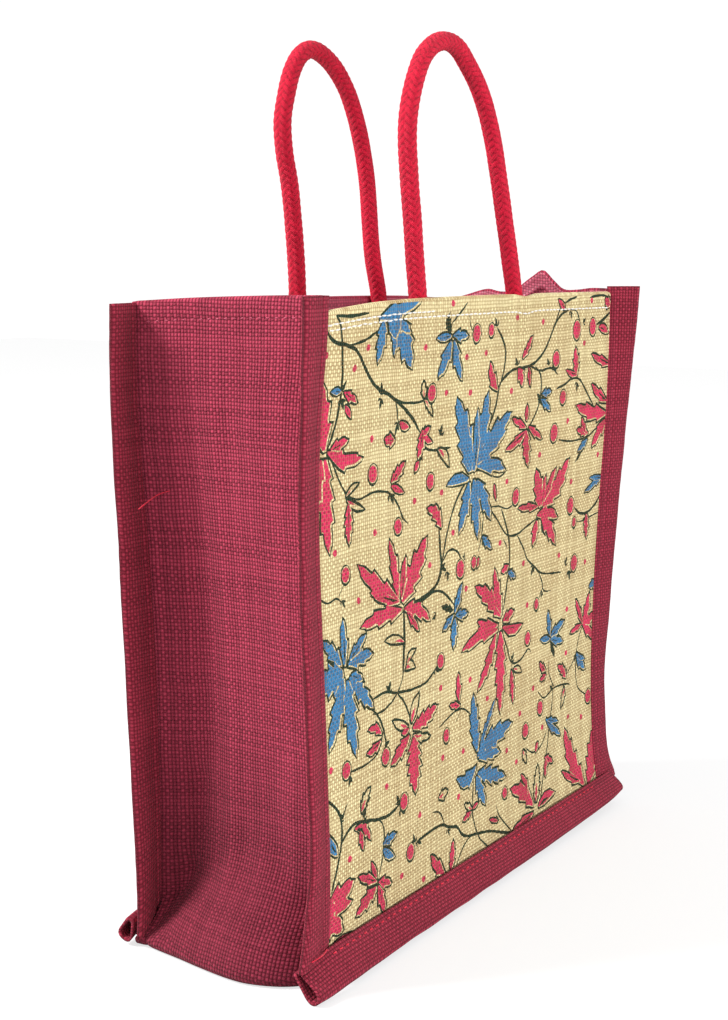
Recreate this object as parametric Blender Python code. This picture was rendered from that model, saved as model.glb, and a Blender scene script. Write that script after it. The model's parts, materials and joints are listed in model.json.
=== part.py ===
"""Burlap bag: a gusset strip, two panels, six folded bindings and two rope handles.

Laid out from the near left corner of the front panel: x runs right along the panel, y runs back, z is up.
At the end everything is moved so that the middle of the whole bag's base is at the origin.
Tables are in millimetres, everything else is in metres.
"""
import math

import bmesh
import bpy
from mathutils import Vector

MM = 0.001

# Bag
WIDTH = 0.345            # between the side seams of a panel
SEAM_HEIGHT = 0.018      # base seams above the ground
CLOTH = 0.0020           # burlap with its inner film
HEM_EXTRA = 0.0012       # a folded hem is this much thicker, on the inside
HEM_HEIGHT = 0.012
PANEL_GAP = 0.0005       # a panel's edge to the binding beside it
GUSSET_EDGE = 0.0028     # the gusset's edge behind the seam line

# Bindings of the seams
BINDING_THICK = 0.0048
BINDING_FOOT = 0.0222    # the upright bindings end above the base bindings
BASE_BINDING_WALL = 0.0012

# Base
BASE_RISE_SHARE = 0.13   # share of the strip's width that rises to each base seam
FRONT_FOOT_SHARE = 0.05  # the same at the bag's two bulging ends, next to the front seam
BACK_FOOT_SHARE = 0.02   # and next to the back seam
FOOT_RUN = 0.030         # from those ends to the even middle of the base
BASE_FOLD_RADIUS = 0.004
SPLAY_TOP = 0.011        # the back base corners are pulled further back below this height
SPLAY_FULL = 0.005

# Handles
ROPE_RADIUS = 0.0053
ROPE_INSIDE = 0.028      # each end runs this far down inside the bag
ROPE_CLEAR = 0.0080      # rope centre to the panel's middle

# Seam lines: how far each runs back (y) at a height above the ground.
FRONT_LEFT_SEAM = [
    {"z": 18, "y": 0.5}, {"z": 63, "y": -0.9}, {"z": 107, "y": 0.5}, {"z": 158, "y": 2.5},
    {"z": 208, "y": 4.9}, {"z": 245, "y": 6.0}, {"z": 285, "y": 5.5}, {"z": 317, "y": 3.4},
    {"z": 335, "y": 1.6}, {"z": 362, "y": 0.2},
]
FRONT_RIGHT_SEAM = [
    {"z": 18, "y": 0.2}, {"z": 49, "y": 4.4}, {"z": 92, "y": 6.6}, {"z": 154, "y": 6.3},
    {"z": 215, "y": 3.9}, {"z": 277, "y": 0.8}, {"z": 320, "y": 0.0}, {"z": 362, "y": 0.0},
]
BACK_LEFT_SEAM = [
    {"z": 18, "y": 112.0}, {"z": 51, "y": 110.7}, {"z": 109, "y": 110.6}, {"z": 149, "y": 111.6},
    {"z": 193, "y": 113.6}, {"z": 227, "y": 115.7}, {"z": 265, "y": 119.0}, {"z": 308, "y": 122.0},
    {"z": 362, "y": 122.0},
]
BACK_RIGHT_SEAM = [
    {"z": 18, "y": 112.0}, {"z": 80, "y": 113.0}, {"z": 200, "y": 115.5}, {"z": 300, "y": 117.5},
    {"z": 362, "y": 118.0},
]

# Sag of the back panel towards the front, halfway between its seams.
BACK_SAG = [
    {"z": 18, "sag": 0}, {"z": 120, "sag": 4}, {"z": 240, "sag": 8}, {"z": 320, "sag": 12},
    {"z": 362, "sag": 13.5},
]

# Depth of the inward fold of a gusset side and where it lies across the strip (0 front, 1 back).
GUSSET_FOLD = [
    {"z": 0, "depth": 0.0, "across": 0.95}, {"z": 18, "depth": 3.0, "across": 0.93},
    {"z": 35, "depth": 8.0, "across": 0.86}, {"z": 60, "depth": 11.0, "across": 0.79},
    {"z": 110, "depth": 12.5, "across": 0.75}, {"z": 200, "depth": 12.5, "across": 0.74},
    {"z": 270, "depth": 9.5, "across": 0.72}, {"z": 320, "depth": 5.5, "across": 0.70},
    {"z": 370, "depth": 3.0, "across": 0.70},
]

# How far a gusset side bulges out at the ground, how high that bulge reaches, and how far the foot of the
# strip is pulled back, across the strip.
GUSSET_BULGE = [
    {"across": 0.00, "out": 0.0, "up": 30, "back": 0.0}, {"across": 0.04, "out": 10.5, "up": 42, "back": 0.0},
    {"across": 0.09, "out": 17.0, "up": 52, "back": 0.0}, {"across": 0.17, "out": 22.5, "up": 66, "back": 0.0},
    {"across": 0.30, "out": 27.0, "up": 76, "back": 0.0}, {"across": 0.42, "out": 27.0, "up": 76, "back": 0.0},
    {"across": 0.58, "out": 24.6, "up": 66, "back": 0.0}, {"across": 0.76, "out": 21.2, "up": 48, "back": 0.0},
    {"across": 0.88, "out": 19.4, "up": 34, "back": 1.6}, {"across": 0.93, "out": 18.4, "up": 30, "back": 2.3},
    {"across": 0.96, "out": 16.6, "up": 29, "back": 3.5}, {"across": 0.985, "out": 18.6, "up": 28, "back": 5.0},
    {"across": 1.00, "out": 0.0, "up": 26, "back": 0.0},
]
RIGHT_BULGE_SHARE = 0.85

# Top edges.
FRONT_TOP = [
    {"x": 0, "z": 352.6}, {"x": 20, "z": 354.0}, {"x": 45, "z": 355.4}, {"x": 83, "z": 356.2},
    {"x": 150, "z": 356.0}, {"x": 208, "z": 355.2}, {"x": 221, "z": 353.8}, {"x": 236, "z": 355.0},
    {"x": 270, "z": 354.6}, {"x": 345, "z": 353.4},
]
BACK_TOP = [
    {"x": 0, "z": 355.0}, {"x": 60, "z": 354.0}, {"x": 130, "z": 353.4}, {"x": 200, "z": 352.4},
    {"x": 262, "z": 350.6}, {"x": 300, "z": 348.6}, {"x": 345, "z": 346.5},
]
LEFT_TOP = [
    {"across": 0.0, "z": 360.6}, {"across": 0.3, "z": 359.6}, {"across": 0.7, "z": 357.4},
    {"across": 1.0, "z": 355.0},
]
RIGHT_TOP = [
    {"across": 0.00, "z": 355.6}, {"across": 0.10, "z": 355.6}, {"across": 0.18, "z": 354.4},
    {"across": 0.27, "z": 354.6}, {"across": 0.34, "z": 361.0}, {"across": 0.40, "z": 367.0},
    {"across": 0.47, "z": 362.6}, {"across": 0.52, "z": 358.4}, {"across": 0.58, "z": 353.2},
    {"across": 0.67, "z": 352.0}, {"across": 0.76, "z": 353.6}, {"across": 0.90, "z": 349.6},
    {"across": 1.00, "z": 346.5},
]

# Upright bindings: angle from straight out sideways (plus is away from the bag's middle depth) and width.
FRONT_LEFT_TURN = [
    {"z": 18, "turn": 8, "wide": 24}, {"z": 30, "turn": 6, "wide": 22}, {"z": 45, "turn": 6, "wide": 20.5},
    {"z": 70, "turn": 10, "wide": 20}, {"z": 200, "turn": 10, "wide": 20}, {"z": 300, "turn": 10, "wide": 20},
    {"z": 335, "turn": 4, "wide": 20}, {"z": 362, "turn": 1, "wide": 20},
]
FRONT_RIGHT_TURN = [
    {"z": 18, "turn": 6, "wide": 18}, {"z": 33, "turn": 3, "wide": 19}, {"z": 55, "turn": 2, "wide": 20},
    {"z": 89, "turn": 2, "wide": 20}, {"z": 146, "turn": 12, "wide": 20}, {"z": 215, "turn": 18, "wide": 20},
    {"z": 293, "turn": 27, "wide": 20}, {"z": 335, "turn": 40, "wide": 20.5}, {"z": 362, "turn": 50, "wide": 20.5},
]
BACK_LEFT_TURN = [
    {"z": 18, "turn": -1, "wide": 18.5}, {"z": 34, "turn": -3, "wide": 19.4}, {"z": 57, "turn": -1, "wide": 20},
    {"z": 93, "turn": 6, "wide": 20},
    {"z": 160, "turn": 11, "wide": 20}, {"z": 227, "turn": 9, "wide": 20}, {"z": 276, "turn": 3.5, "wide": 20},
    {"z": 308, "turn": 1, "wide": 20}, {"z": 362, "turn": -2, "wide": 20},
]
BACK_RIGHT_TURN = [
    {"z": 18, "turn": 12, "wide": 20}, {"z": 120, "turn": 20, "wide": 20}, {"z": 240, "turn": 12, "wide": 20},
    {"z": 362, "turn": 8, "wide": 20},
]
BACK_LEFT_SLANT = 0.0154  # the foot of this binding hangs lower at its outer edge
BINDING_TOPS = {"front_left": 0.3610, "front_right": 0.3575, "back_left": 0.3545, "back_right": 0.3465}

# Base bindings, from the left end to the right end: reach away from the seam, reach down, thickness, how far
# the open ends gape back under the bag and how far they droop.
FRONT_BASE_RUN = [
    {"x": -28, "reach": 13.6, "drop": 14.8, "thick": 8.6, "gape": 2.6, "droop": 2.0},
    {"x": -14, "reach": 14.2, "drop": 16.0, "thick": 7.0, "gape": 1.2, "droop": 0.9},
    {"x": 2, "reach": 13.6, "drop": 17.0, "thick": 5.8, "gape": 0.0, "droop": 0.0},
    {"x": 50, "reach": 12.6, "drop": 16.8, "thick": 5.4, "gape": 0.0, "droop": 0.0},
    {"x": 150, "reach": 12.0, "drop": 16.6, "thick": 5.4, "gape": 0.0, "droop": 0.0},
    {"x": 260, "reach": 12.0, "drop": 15.6, "thick": 5.4, "gape": 0.0, "droop": 0.0},
    {"x": 340, "reach": 12.0, "drop": 13.2, "thick": 5.4, "gape": 0.0, "droop": 0.0},
    {"x": 359, "reach": 11.0, "drop": 11.6, "thick": 5.6, "gape": 0.0, "droop": 0.0},
]
BACK_BASE_RUN = [
    {"x": -19, "reach": 5.4, "drop": 13.0, "thick": 9.6, "gape": -2.2, "droop": 4.9},
    {"x": -9, "reach": 7.8, "drop": 14.8, "thick": 8.0, "gape": -2.0, "droop": 2.4},
    {"x": 2, "reach": 10.2, "drop": 15.4, "thick": 6.6, "gape": -1.0, "droop": 0.6},
    {"x": 30, "reach": 11.5, "drop": 16.4, "thick": 5.8, "gape": 0.0, "droop": 0.0},
    {"x": 150, "reach": 12.0, "drop": 16.6, "thick": 5.4, "gape": 0.0, "droop": 0.0},
    {"x": 290, "reach": 12.0, "drop": 16.4, "thick": 5.6, "gape": 0.0, "droop": 0.0},
    {"x": 363, "reach": 9.0, "drop": 15.0, "thick": 7.0, "gape": 0.0, "droop": 1.0},
]

# Rope handles above the mouth.
FRONT_HANDLE = [
    {"x": 107, "z": 350}, {"x": 102.5, "z": 378}, {"x": 99.5, "z": 399}, {"x": 96, "z": 420},
    {"x": 93.6, "z": 440}, {"x": 94.6, "z": 456}, {"x": 100.2, "z": 472}, {"x": 109, "z": 485.5},
    {"x": 121, "z": 493.5}, {"x": 134.5, "z": 496.5}, {"x": 147.5, "z": 494}, {"x": 159.5, "z": 486},
    {"x": 172, "z": 475.5}, {"x": 183, "z": 461.5}, {"x": 192.6, "z": 443}, {"x": 201, "z": 420},
    {"x": 208.2, "z": 399}, {"x": 215.4, "z": 377}, {"x": 223.2, "z": 350},
]
BACK_HANDLE = [
    {"x": 125, "z": 350}, {"x": 123.6, "z": 376}, {"x": 121, "z": 398}, {"x": 117.5, "z": 420},
    {"x": 113, "z": 438}, {"x": 111.6, "z": 455}, {"x": 115, "z": 470}, {"x": 120, "z": 483},
    {"x": 127.6, "z": 492.5}, {"x": 138, "z": 496.8}, {"x": 149.6, "z": 494.6}, {"x": 163.4, "z": 487},
    {"x": 175.4, "z": 475.4}, {"x": 185, "z": 460.5}, {"x": 193, "z": 442.5}, {"x": 198.6, "z": 423},
    {"x": 202.2, "z": 399.5}, {"x": 206.4, "z": 376}, {"x": 214.4, "z": 350},
]

# Half thickness of a folded binding (share of its full half) at a share of its width from the seam.
FLAT_BINDING_SHAPE = [
    {"out": 0.00, "half": 0.62}, {"out": 0.10, "half": 0.80}, {"out": 0.25, "half": 0.80},
    {"out": 0.31, "half": 0.56}, {"out": 0.38, "half": 0.84}, {"out": 0.60, "half": 1.00},
    {"out": 0.84, "half": 0.96}, {"out": 0.95, "half": 0.68}, {"out": 1.00, "half": 0.22},
]
OPEN_BINDING_SHAPE = [
    {"out": 0.00, "half": 0.24}, {"out": 0.04, "half": 0.52}, {"out": 0.20, "half": 0.66},
    {"out": 0.45, "half": 0.84}, {"out": 0.70, "half": 1.00}, {"out": 0.87, "half": 0.92},
    {"out": 0.96, "half": 0.62}, {"out": 1.00, "half": 0.24},
]

COLOURS = {
    "maroon_burlap": (0.245, 0.018, 0.040),
    "printed_burlap": (0.760, 0.620, 0.330),
    "cotton_rope": (0.560, 0.008, 0.030),
}


def along(rows, key, column, at):
    """A smooth value of a table's column where its key column has the value at."""
    if at <= rows[0][key]:
        return rows[0][column]
    if at >= rows[-1][key]:
        return rows[-1][column]
    i = 0
    while rows[i + 1][key] < at:
        i += 1
    a, b = rows[i], rows[i + 1]
    span = b[key] - a[key]

    def slope(k):
        before, after = rows[max(k - 1, 0)], rows[min(k + 1, len(rows) - 1)]
        return (after[column] - before[column]) / (after[key] - before[key])

    t = (at - a[key]) / span
    m0, m1 = slope(i) * span, slope(i + 1) * span
    return (
        a[column] * (2 * t**3 - 3 * t**2 + 1) + m0 * (t**3 - 2 * t**2 + t)
        + b[column] * (3 * t**2 - 2 * t**3) + m1 * (t**3 - t**2)
    )


def smooth(t):
    t = min(max(t, 0.0), 1.0)
    return t * t * (3 - 2 * t)


def seam_y(rows, z):
    return MM * along(rows, "z", "y", z / MM)


def hem_extra(below_top):
    """Extra thickness of the folded hem at a distance below the top edge."""
    return HEM_EXTRA * smooth((HEM_HEIGHT - below_top) / 0.003)


def front_y(x, z):
    """Middle of the front panel: the seams' own lines, blended across the width."""
    across = smooth(x / WIDTH)
    return seam_y(FRONT_LEFT_SEAM, z) * (1 - across) + seam_y(FRONT_RIGHT_SEAM, z) * across


def back_y(x, z):
    """Middle of the back panel, which sags towards the front."""
    across = x / WIDTH
    sag = MM * along(BACK_SAG, "z", "sag", z / MM) * math.sin(math.pi * min(max(across, 0), 1)) ** 1.3
    seams = seam_y(BACK_LEFT_SEAM, z) * (1 - across) + seam_y(BACK_RIGHT_SEAM, z) * across
    return seams - sag


def gusset_in(across, z):
    """How far a gusset side lies inside the line between its seams."""
    height = z / MM
    crease = along(GUSSET_FOLD, "z", "across", height)
    front_slope = across / crease
    back_slope = (1 - across) / (1 - crease)
    soft = 0.13
    fold = -soft * math.log(math.exp(-front_slope / soft) + math.exp(-back_slope / soft))
    depth = along(GUSSET_FOLD, "z", "depth", height) * max(fold, 0.0)
    reach = along(GUSSET_BULGE, "across", "up", across)
    bulge = along(GUSSET_BULGE, "across", "out", across) * (1 - smooth(height / reach)) ** 1.25
    return MM * depth, MM * bulge


def gusset_point(side, across, z):
    """A point of the left (-1) or right (+1) gusset side."""
    rows_front = FRONT_LEFT_SEAM if side < 0 else FRONT_RIGHT_SEAM
    rows_back = BACK_LEFT_SEAM if side < 0 else BACK_RIGHT_SEAM
    start = seam_y(rows_front, z) + GUSSET_EDGE
    end = seam_y(rows_back, z) - GUSSET_EDGE
    depth, bulge = gusset_in(across, z)
    if side > 0:
        bulge *= RIGHT_BULGE_SHARE
    x = depth - bulge
    splay = MM * along(GUSSET_BULGE, "across", "back", across)
    splay *= 1 - smooth((z - SPLAY_FULL) / (SPLAY_TOP - SPLAY_FULL))
    return Vector((x if side < 0 else WIDTH - x, start + across * (end - start) + splay, z))


def base_height(across, front_share, back_share):
    """Height of the middle of the base cloth above the ground."""
    near_edge = min(across / front_share, (1 - across) / back_share)
    rise = max(0.0, 1 - near_edge) ** 2
    return CLOTH / 2 + (SEAM_HEIGHT - 0.002 - CLOTH / 2) * rise


def gusset_column(across):
    """One line along the whole strip: down the left side, across the base, up the right side."""
    floor = base_height(across, FRONT_FOOT_SHARE, BACK_FOOT_SHARE)
    inner_floor = base_height(across, BASE_RISE_SHARE, BASE_RISE_SHARE)
    low = floor + BASE_FOLD_RADIUS
    sides = {}
    for side, top_rows in ((-1, LEFT_TOP), (1, RIGHT_TOP)):
        top = MM * along(top_rows, "across", "z", across)
        heights = [top, top - 0.005, top - 0.0095, top - 0.012, top - 0.016]
        steps = 19
        for k in range(1, steps + 1):
            heights.append(heights[4] + (low - heights[4]) * (1 - (1 - k / steps) ** 1.35))
        sides[side] = [(gusset_point(side, across, z), top - z) for z in heights]
    left_foot, right_foot = sides[-1][-1][0], sides[1][-1][0]
    column = list(sides[-1])
    for k in range(1, 4):
        angle = math.radians(22.5 * k)
        out = BASE_FOLD_RADIUS * (1 - math.cos(angle))
        down = BASE_FOLD_RADIUS * math.sin(angle)
        column.append((left_foot + Vector((out, 0, -down)), 1.0))
    start = left_foot + Vector((BASE_FOLD_RADIUS, 0, -BASE_FOLD_RADIUS))
    end = right_foot + Vector((-BASE_FOLD_RADIUS, 0, -BASE_FOLD_RADIUS))
    stops = (0.0, 0.02, 0.045, 0.08, 0.15, 0.3, 0.5, 0.7, 0.85, 0.92, 0.955, 0.98, 1.0)
    for stop in stops:
        point = start.lerp(end, stop)
        from_foot = min(stop, 1 - stop) * (end.x - start.x)
        point.z = floor + (inner_floor - floor) * smooth(from_foot / FOOT_RUN)
        column.append((point, 1.0))
    for k in range(3, 0, -1):
        angle = math.radians(22.5 * k)
        out = BASE_FOLD_RADIUS * (1 - math.cos(angle))
        down = BASE_FOLD_RADIUS * math.sin(angle)
        column.append((right_foot + Vector((-out, 0, -down)), 1.0))
    column.extend(reversed(sides[1]))
    return column


def add_body(name, verts, faces, slot, smooth_shading=True):
    mesh = bpy.data.meshes.new(name)
    mesh.from_pydata([tuple(v) for v in verts], [], faces)
    shell = bmesh.new()
    shell.from_mesh(mesh)
    bmesh.ops.recalc_face_normals(shell, faces=shell.faces)
    shell.to_mesh(mesh)
    shell.free()
    mesh.update()
    body = bpy.data.objects.new(name, mesh)
    bpy.context.scene.collection.objects.link(body)
    body.data.materials.append(materials[slot])
    for polygon in mesh.polygons:
        polygon.use_smooth = smooth_shading
    return body


def cloth_body(name, grid, slot, inner_extra=None):
    """A closed sheet from a grid of points on its middle: half the cloth's thickness to either side.

    inner_extra gives the hem's extra thickness of a grid point on the side that the normals point away from.
    """
    rows, columns = len(grid), len(grid[0])
    normals = []
    for i in range(rows):
        line = []
        for j in range(columns):
            down = grid[min(i + 1, rows - 1)][j] - grid[max(i - 1, 0)][j]
            over = grid[i][min(j + 1, columns - 1)] - grid[i][max(j - 1, 0)]
            line.append(down.cross(over).normalized())
        normals.append(line)
    outer, inner = [], []
    for i in range(rows):
        for j in range(columns):
            extra = inner_extra(i, j) if inner_extra else 0.0
            outer.append(grid[i][j] + normals[i][j] * CLOTH / 2)
            inner.append(grid[i][j] - normals[i][j] * (CLOTH / 2 + extra))
    count = rows * columns
    faces = []

    def at(i, j):
        return i * columns + j

    for i in range(rows - 1):
        for j in range(columns - 1):
            a, b, c, d = at(i, j), at(i + 1, j), at(i + 1, j + 1), at(i, j + 1)
            faces.append((a, b, c, d))
            faces.append((count + d, count + c, count + b, count + a))
    rim = [at(0, j) for j in range(columns)]
    rim += [at(i, columns - 1) for i in range(1, rows)]
    rim += [at(rows - 1, j) for j in range(columns - 2, -1, -1)]
    rim += [at(i, 0) for i in range(rows - 2, 0, -1)]
    for k, a in enumerate(rim):
        b = rim[(k + 1) % len(rim)]
        faces.append((a, b, count + b, count + a))
    return add_body(name, outer + inner, faces, slot)


def swept_body(name, rings, slot, holes=None):
    """A closed body through equal rings of points, with flat ends, or with an open tube inside when holes are given."""
    size = len(rings[0])
    verts = [point for ring in rings for point in ring]
    faces = []
    for i in range(len(rings) - 1):
        for k in range(size):
            n = (k + 1) % size
            faces.append((i * size + k, i * size + n, (i + 1) * size + n, (i + 1) * size + k))
    last = (len(rings) - 1) * size
    if holes is None:
        faces.append(tuple(reversed(range(size))))
        faces.append(tuple(last + k for k in range(size)))
        return add_body(name, verts, faces, slot)
    shift = len(verts)
    verts += [point for ring in holes for point in ring]
    for i in range(len(holes) - 1):
        for k in range(size):
            n = (k + 1) % size
            a, b = shift + i * size, shift + (i + 1) * size
            faces.append((a + k, b + k, b + n, a + n))
    for k in range(size):
        n = (k + 1) % size
        faces.append((k, shift + k, shift + n, n))
        faces.append((last + k, last + n, shift + last + n, shift + last + k))
    return add_body(name, verts, faces, slot)


def folded_ring(root, out, thick_way, wide, half, shape, wall=0.0):
    """One ring of a folded binding, or of the open inside of one when it has a wall."""
    ring = []
    upper = [(row["out"], row["half"]) for row in shape]
    for share, swell in upper:
        ring.append((wall + share * (wide - 2 * wall), max(swell * half - wall, 0.0002)))
    for share, swell in reversed(upper):
        ring.append((wall + share * (wide - 2 * wall), -max(swell * half - wall, 0.0002)))
    return [root + out * w + thick_way * h for w, h in ring]


def upright_binding(name, corner_x, seam_rows, turn_rows, way_x, way_y, slant=0.0):
    """A flat folded strip along a side seam, standing out from the corner."""
    top = BINDING_TOPS[name]
    steps = 21
    rings = []
    for k in range(steps + 1):
        z = BINDING_FOOT + (top - BINDING_FOOT) * (k / steps) ** 1.12
        turn = math.radians(along(turn_rows, "z", "turn", z / MM))
        wide = MM * along(turn_rows, "z", "wide", z / MM)
        out = Vector((way_x * math.cos(turn), way_y * math.sin(turn), 0))
        thick_way = Vector((way_y * math.sin(turn), -way_x * math.cos(turn), 0))
        clear = BINDING_THICK / 2 * FLAT_BINDING_SHAPE[0]["half"] * abs(math.sin(turn))
        root = Vector((corner_x + way_x * clear, seam_y(seam_rows, z), z))
        out -= Vector((0, 0, slant / wide * (1 - k / steps) ** 8))
        rings.append(folded_ring(root, out, thick_way, wide, BINDING_THICK / 2, FLAT_BINDING_SHAPE))
    return swept_body(name + "_binding", rings, "maroon_burlap")


def base_binding(name, seam_y_at, way_y, run_rows):
    """A strip folded into an open tube along a base seam, past both corners."""
    steps = 22
    first, last = run_rows[0]["x"], run_rows[-1]["x"]
    rings, holes = [], []
    for k in range(steps + 1):
        x = first + (last - first) * (k / steps)
        reach = along(run_rows, "x", "reach", x)
        drop = along(run_rows, "x", "drop", x)
        half = MM * along(run_rows, "x", "thick", x) / 2
        out = Vector((0, way_y * reach, -drop)).normalized()
        thick_way = Vector((0, way_y * drop, reach)).normalized()
        wide = MM * math.hypot(reach, drop)
        root = Vector((x * MM, seam_y_at(x * MM) + way_y * 0.0024, SEAM_HEIGHT + 0.0022))
        root -= thick_way * MM * along(run_rows, "x", "gape", x)
        root.z -= MM * along(run_rows, "x", "droop", x)
        rings.append(folded_ring(root, out, thick_way, wide, half, OPEN_BINDING_SHAPE))
        holes.append(folded_ring(root, out, thick_way, wide, half, OPEN_BINDING_SHAPE, BASE_BINDING_WALL))
    return swept_body(name, rings, "maroon_burlap", holes)


def rope_handle(name, rows, panel_y, side):
    """A rope along a smooth line, its ends down inside the bag behind the panel's hem."""
    line = [Vector((row["x"] * MM, 0, row["z"] * MM)) for row in rows]
    bottom = line[0].z - ROPE_INSIDE + 0.006
    line = [Vector((line[0].x, 0, bottom))] + line + [Vector((line[-1].x, 0, bottom))]
    path = []
    for i in range(len(line) - 1):
        p0, p1, p2 = line[max(i - 1, 0)], line[i], line[i + 1]
        p3 = line[min(i + 2, len(line) - 1)]
        for k in range(3):
            t = k / 3
            path.append(
                0.5 * (2 * p1 + (p2 - p0) * t + (2 * p0 - 5 * p1 + 4 * p2 - p3) * t * t
                       + (3 * p1 - p0 - 3 * p2 + p3) * t**3)
            )
    path.append(line[-1])
    for point in path:
        level = min(point.z, 0.352)
        point.y = panel_y(point.x, level) + side * ROPE_CLEAR
    rings = []
    for i, point in enumerate(path):
        ahead = path[min(i + 1, len(path) - 1)] - path[max(i - 1, 0)]
        ahead.normalize()
        across = Vector((0, 1, 0))
        across = (across - ahead * across.dot(ahead)).normalized()
        third = ahead.cross(across)
        rings.append([
            point + (across * math.cos(a) + third * math.sin(a)) * ROPE_RADIUS
            for a in (math.tau * k / 12 for k in range(12))
        ])
    return swept_body(name, rings, "cotton_rope")


def panel_grid(y_at, top_rows, columns, rows, facing):
    """Points on a panel's middle, from its top edge down to the base seam."""
    foot = SEAM_HEIGHT
    grid, below = [], []
    for i in range(rows + 1):
        line, line_below = [], []
        for j in range(columns + 1):
            share = j / columns if facing > 0 else 1 - j / columns
            x = PANEL_GAP + share * (WIDTH - 2 * PANEL_GAP)
            top = MM * along(top_rows, "x", "z", x / MM)
            drops = (0.0, 0.005, 0.0095, 0.012, 0.016)
            if i < 5:
                z = top - drops[i]
            else:
                z = top - 0.016 + (foot - top + 0.016) * (i - 4) / (rows - 4)
            line.append(Vector((x, y_at(x, z), z)))
            line_below.append(top - z)
        grid.append(line)
        below.append(line_below)
    return grid, below


def make_panel(name, y_at, top_rows, facing, slot):
    grid, below = panel_grid(y_at, top_rows, 16, 18, facing)
    return cloth_body(name, grid, slot, lambda i, j: hem_extra(below[i][j]))


def make_gusset():
    shares = [0, 0.02, 0.045, 0.09, 0.14, 0.20, 0.27, 0.34, 0.40, 0.47, 0.55, 0.63, 0.71, 0.78, 0.84, 0.89,
              0.93, 0.96, 0.985, 1.0]
    columns = [gusset_column(share) for share in shares]
    grid = [[column[i][0] for column in columns] for i in range(len(columns[0]))]
    below = [[column[i][1] for column in columns] for i in range(len(columns[0]))]
    grid = [list(reversed(line)) for line in grid]
    below = [list(reversed(line)) for line in below]
    return cloth_body("gusset", grid, "maroon_burlap", lambda i, j: hem_extra(below[i][j]))


for old in list(bpy.data.objects):
    bpy.data.objects.remove(old, do_unlink=True)

materials = {}
for slot, colour in COLOURS.items():
    material = bpy.data.materials.new(slot)
    material.use_nodes = True
    shader = material.node_tree.nodes["Principled BSDF"]
    shader.inputs["Base Color"].default_value = (*colour, 1.0)
    shader.inputs["Roughness"].default_value = 0.9
    materials[slot] = material

bodies = [
    make_gusset(),
    make_panel("front_panel", front_y, FRONT_TOP, 1, "printed_burlap"),
    make_panel("back_panel", back_y, BACK_TOP, -1, "maroon_burlap"),
    upright_binding("front_left", 0.0, FRONT_LEFT_SEAM, FRONT_LEFT_TURN, -1, -1),
    upright_binding("front_right", WIDTH, FRONT_RIGHT_SEAM, FRONT_RIGHT_TURN, 1, -1),
    upright_binding("back_left", 0.0, BACK_LEFT_SEAM, BACK_LEFT_TURN, -1, 1, BACK_LEFT_SLANT),
    upright_binding("back_right", WIDTH, BACK_RIGHT_SEAM, BACK_RIGHT_TURN, 1, 1),
    base_binding("front_base_binding", lambda x: front_y(x, SEAM_HEIGHT), -1, FRONT_BASE_RUN),
    base_binding("back_base_binding", lambda x: back_y(x, SEAM_HEIGHT), 1, BACK_BASE_RUN),
    rope_handle("handle_front", FRONT_HANDLE, front_y, 1),
    rope_handle("handle_back", BACK_HANDLE, back_y, -1),
]

points = [vertex.co for body in bodies for vertex in body.data.vertices]
middle = Vector((
    (min(p.x for p in points) + max(p.x for p in points)) / 2,
    (min(p.y for p in points) + max(p.y for p in points)) / 2,
    min(p.z for p in points),
))
for body in bodies:
    for vertex in body.data.vertices:
        vertex.co -= middle
    body.data.update()
    print(body.name, len(body.data.vertices))
print("moved by", [round(1000 * value, 2) for value in middle])
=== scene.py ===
"""Burlap bag: printed front, folded gusset, bound seams and two braided rope handles.

Laid out like the solids: x runs right from the near left corner of the front panel, y runs back, z is up, and
MIDDLE is taken off each piece as it is made. Tables are in millimetres, the rest is in metres unless a comment
says otherwise.
"""
import json
import math

import bpy
from mathutils import Matrix, Vector, noise
from mathutils.geometry import delaunay_2d_cdt

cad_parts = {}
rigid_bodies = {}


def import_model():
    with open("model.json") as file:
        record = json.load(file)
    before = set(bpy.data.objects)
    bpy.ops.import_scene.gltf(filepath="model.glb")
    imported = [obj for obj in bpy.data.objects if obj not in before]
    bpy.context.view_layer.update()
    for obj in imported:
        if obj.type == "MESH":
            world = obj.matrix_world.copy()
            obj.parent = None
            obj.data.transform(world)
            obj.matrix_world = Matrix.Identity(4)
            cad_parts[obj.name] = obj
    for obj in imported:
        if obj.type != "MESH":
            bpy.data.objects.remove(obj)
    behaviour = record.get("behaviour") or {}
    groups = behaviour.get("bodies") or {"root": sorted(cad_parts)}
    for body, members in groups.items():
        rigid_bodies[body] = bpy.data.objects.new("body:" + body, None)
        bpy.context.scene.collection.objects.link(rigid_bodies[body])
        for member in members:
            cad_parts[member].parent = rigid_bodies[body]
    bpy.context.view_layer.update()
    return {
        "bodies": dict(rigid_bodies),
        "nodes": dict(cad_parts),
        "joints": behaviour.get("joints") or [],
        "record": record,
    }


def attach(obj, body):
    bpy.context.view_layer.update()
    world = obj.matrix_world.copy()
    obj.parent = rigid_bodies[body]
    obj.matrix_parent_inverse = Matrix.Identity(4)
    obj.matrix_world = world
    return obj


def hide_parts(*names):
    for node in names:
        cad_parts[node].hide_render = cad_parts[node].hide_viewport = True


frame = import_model()

bl_info = {
    "name": "Burlap bag",
    "version": (1, 0, 0),
    "blender": (4, 5, 0),
    "location": "3D View > Sidebar > Bag",
    "description": "A standing burlap bag with a printed front, bound seams and rope handles",
    "category": "Object",
}

MM = 0.001
MIDDLE = Vector((0.170321, 0.055593, 0.0))
PICTURE_HEIGHT = 1020    # pixels

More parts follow.
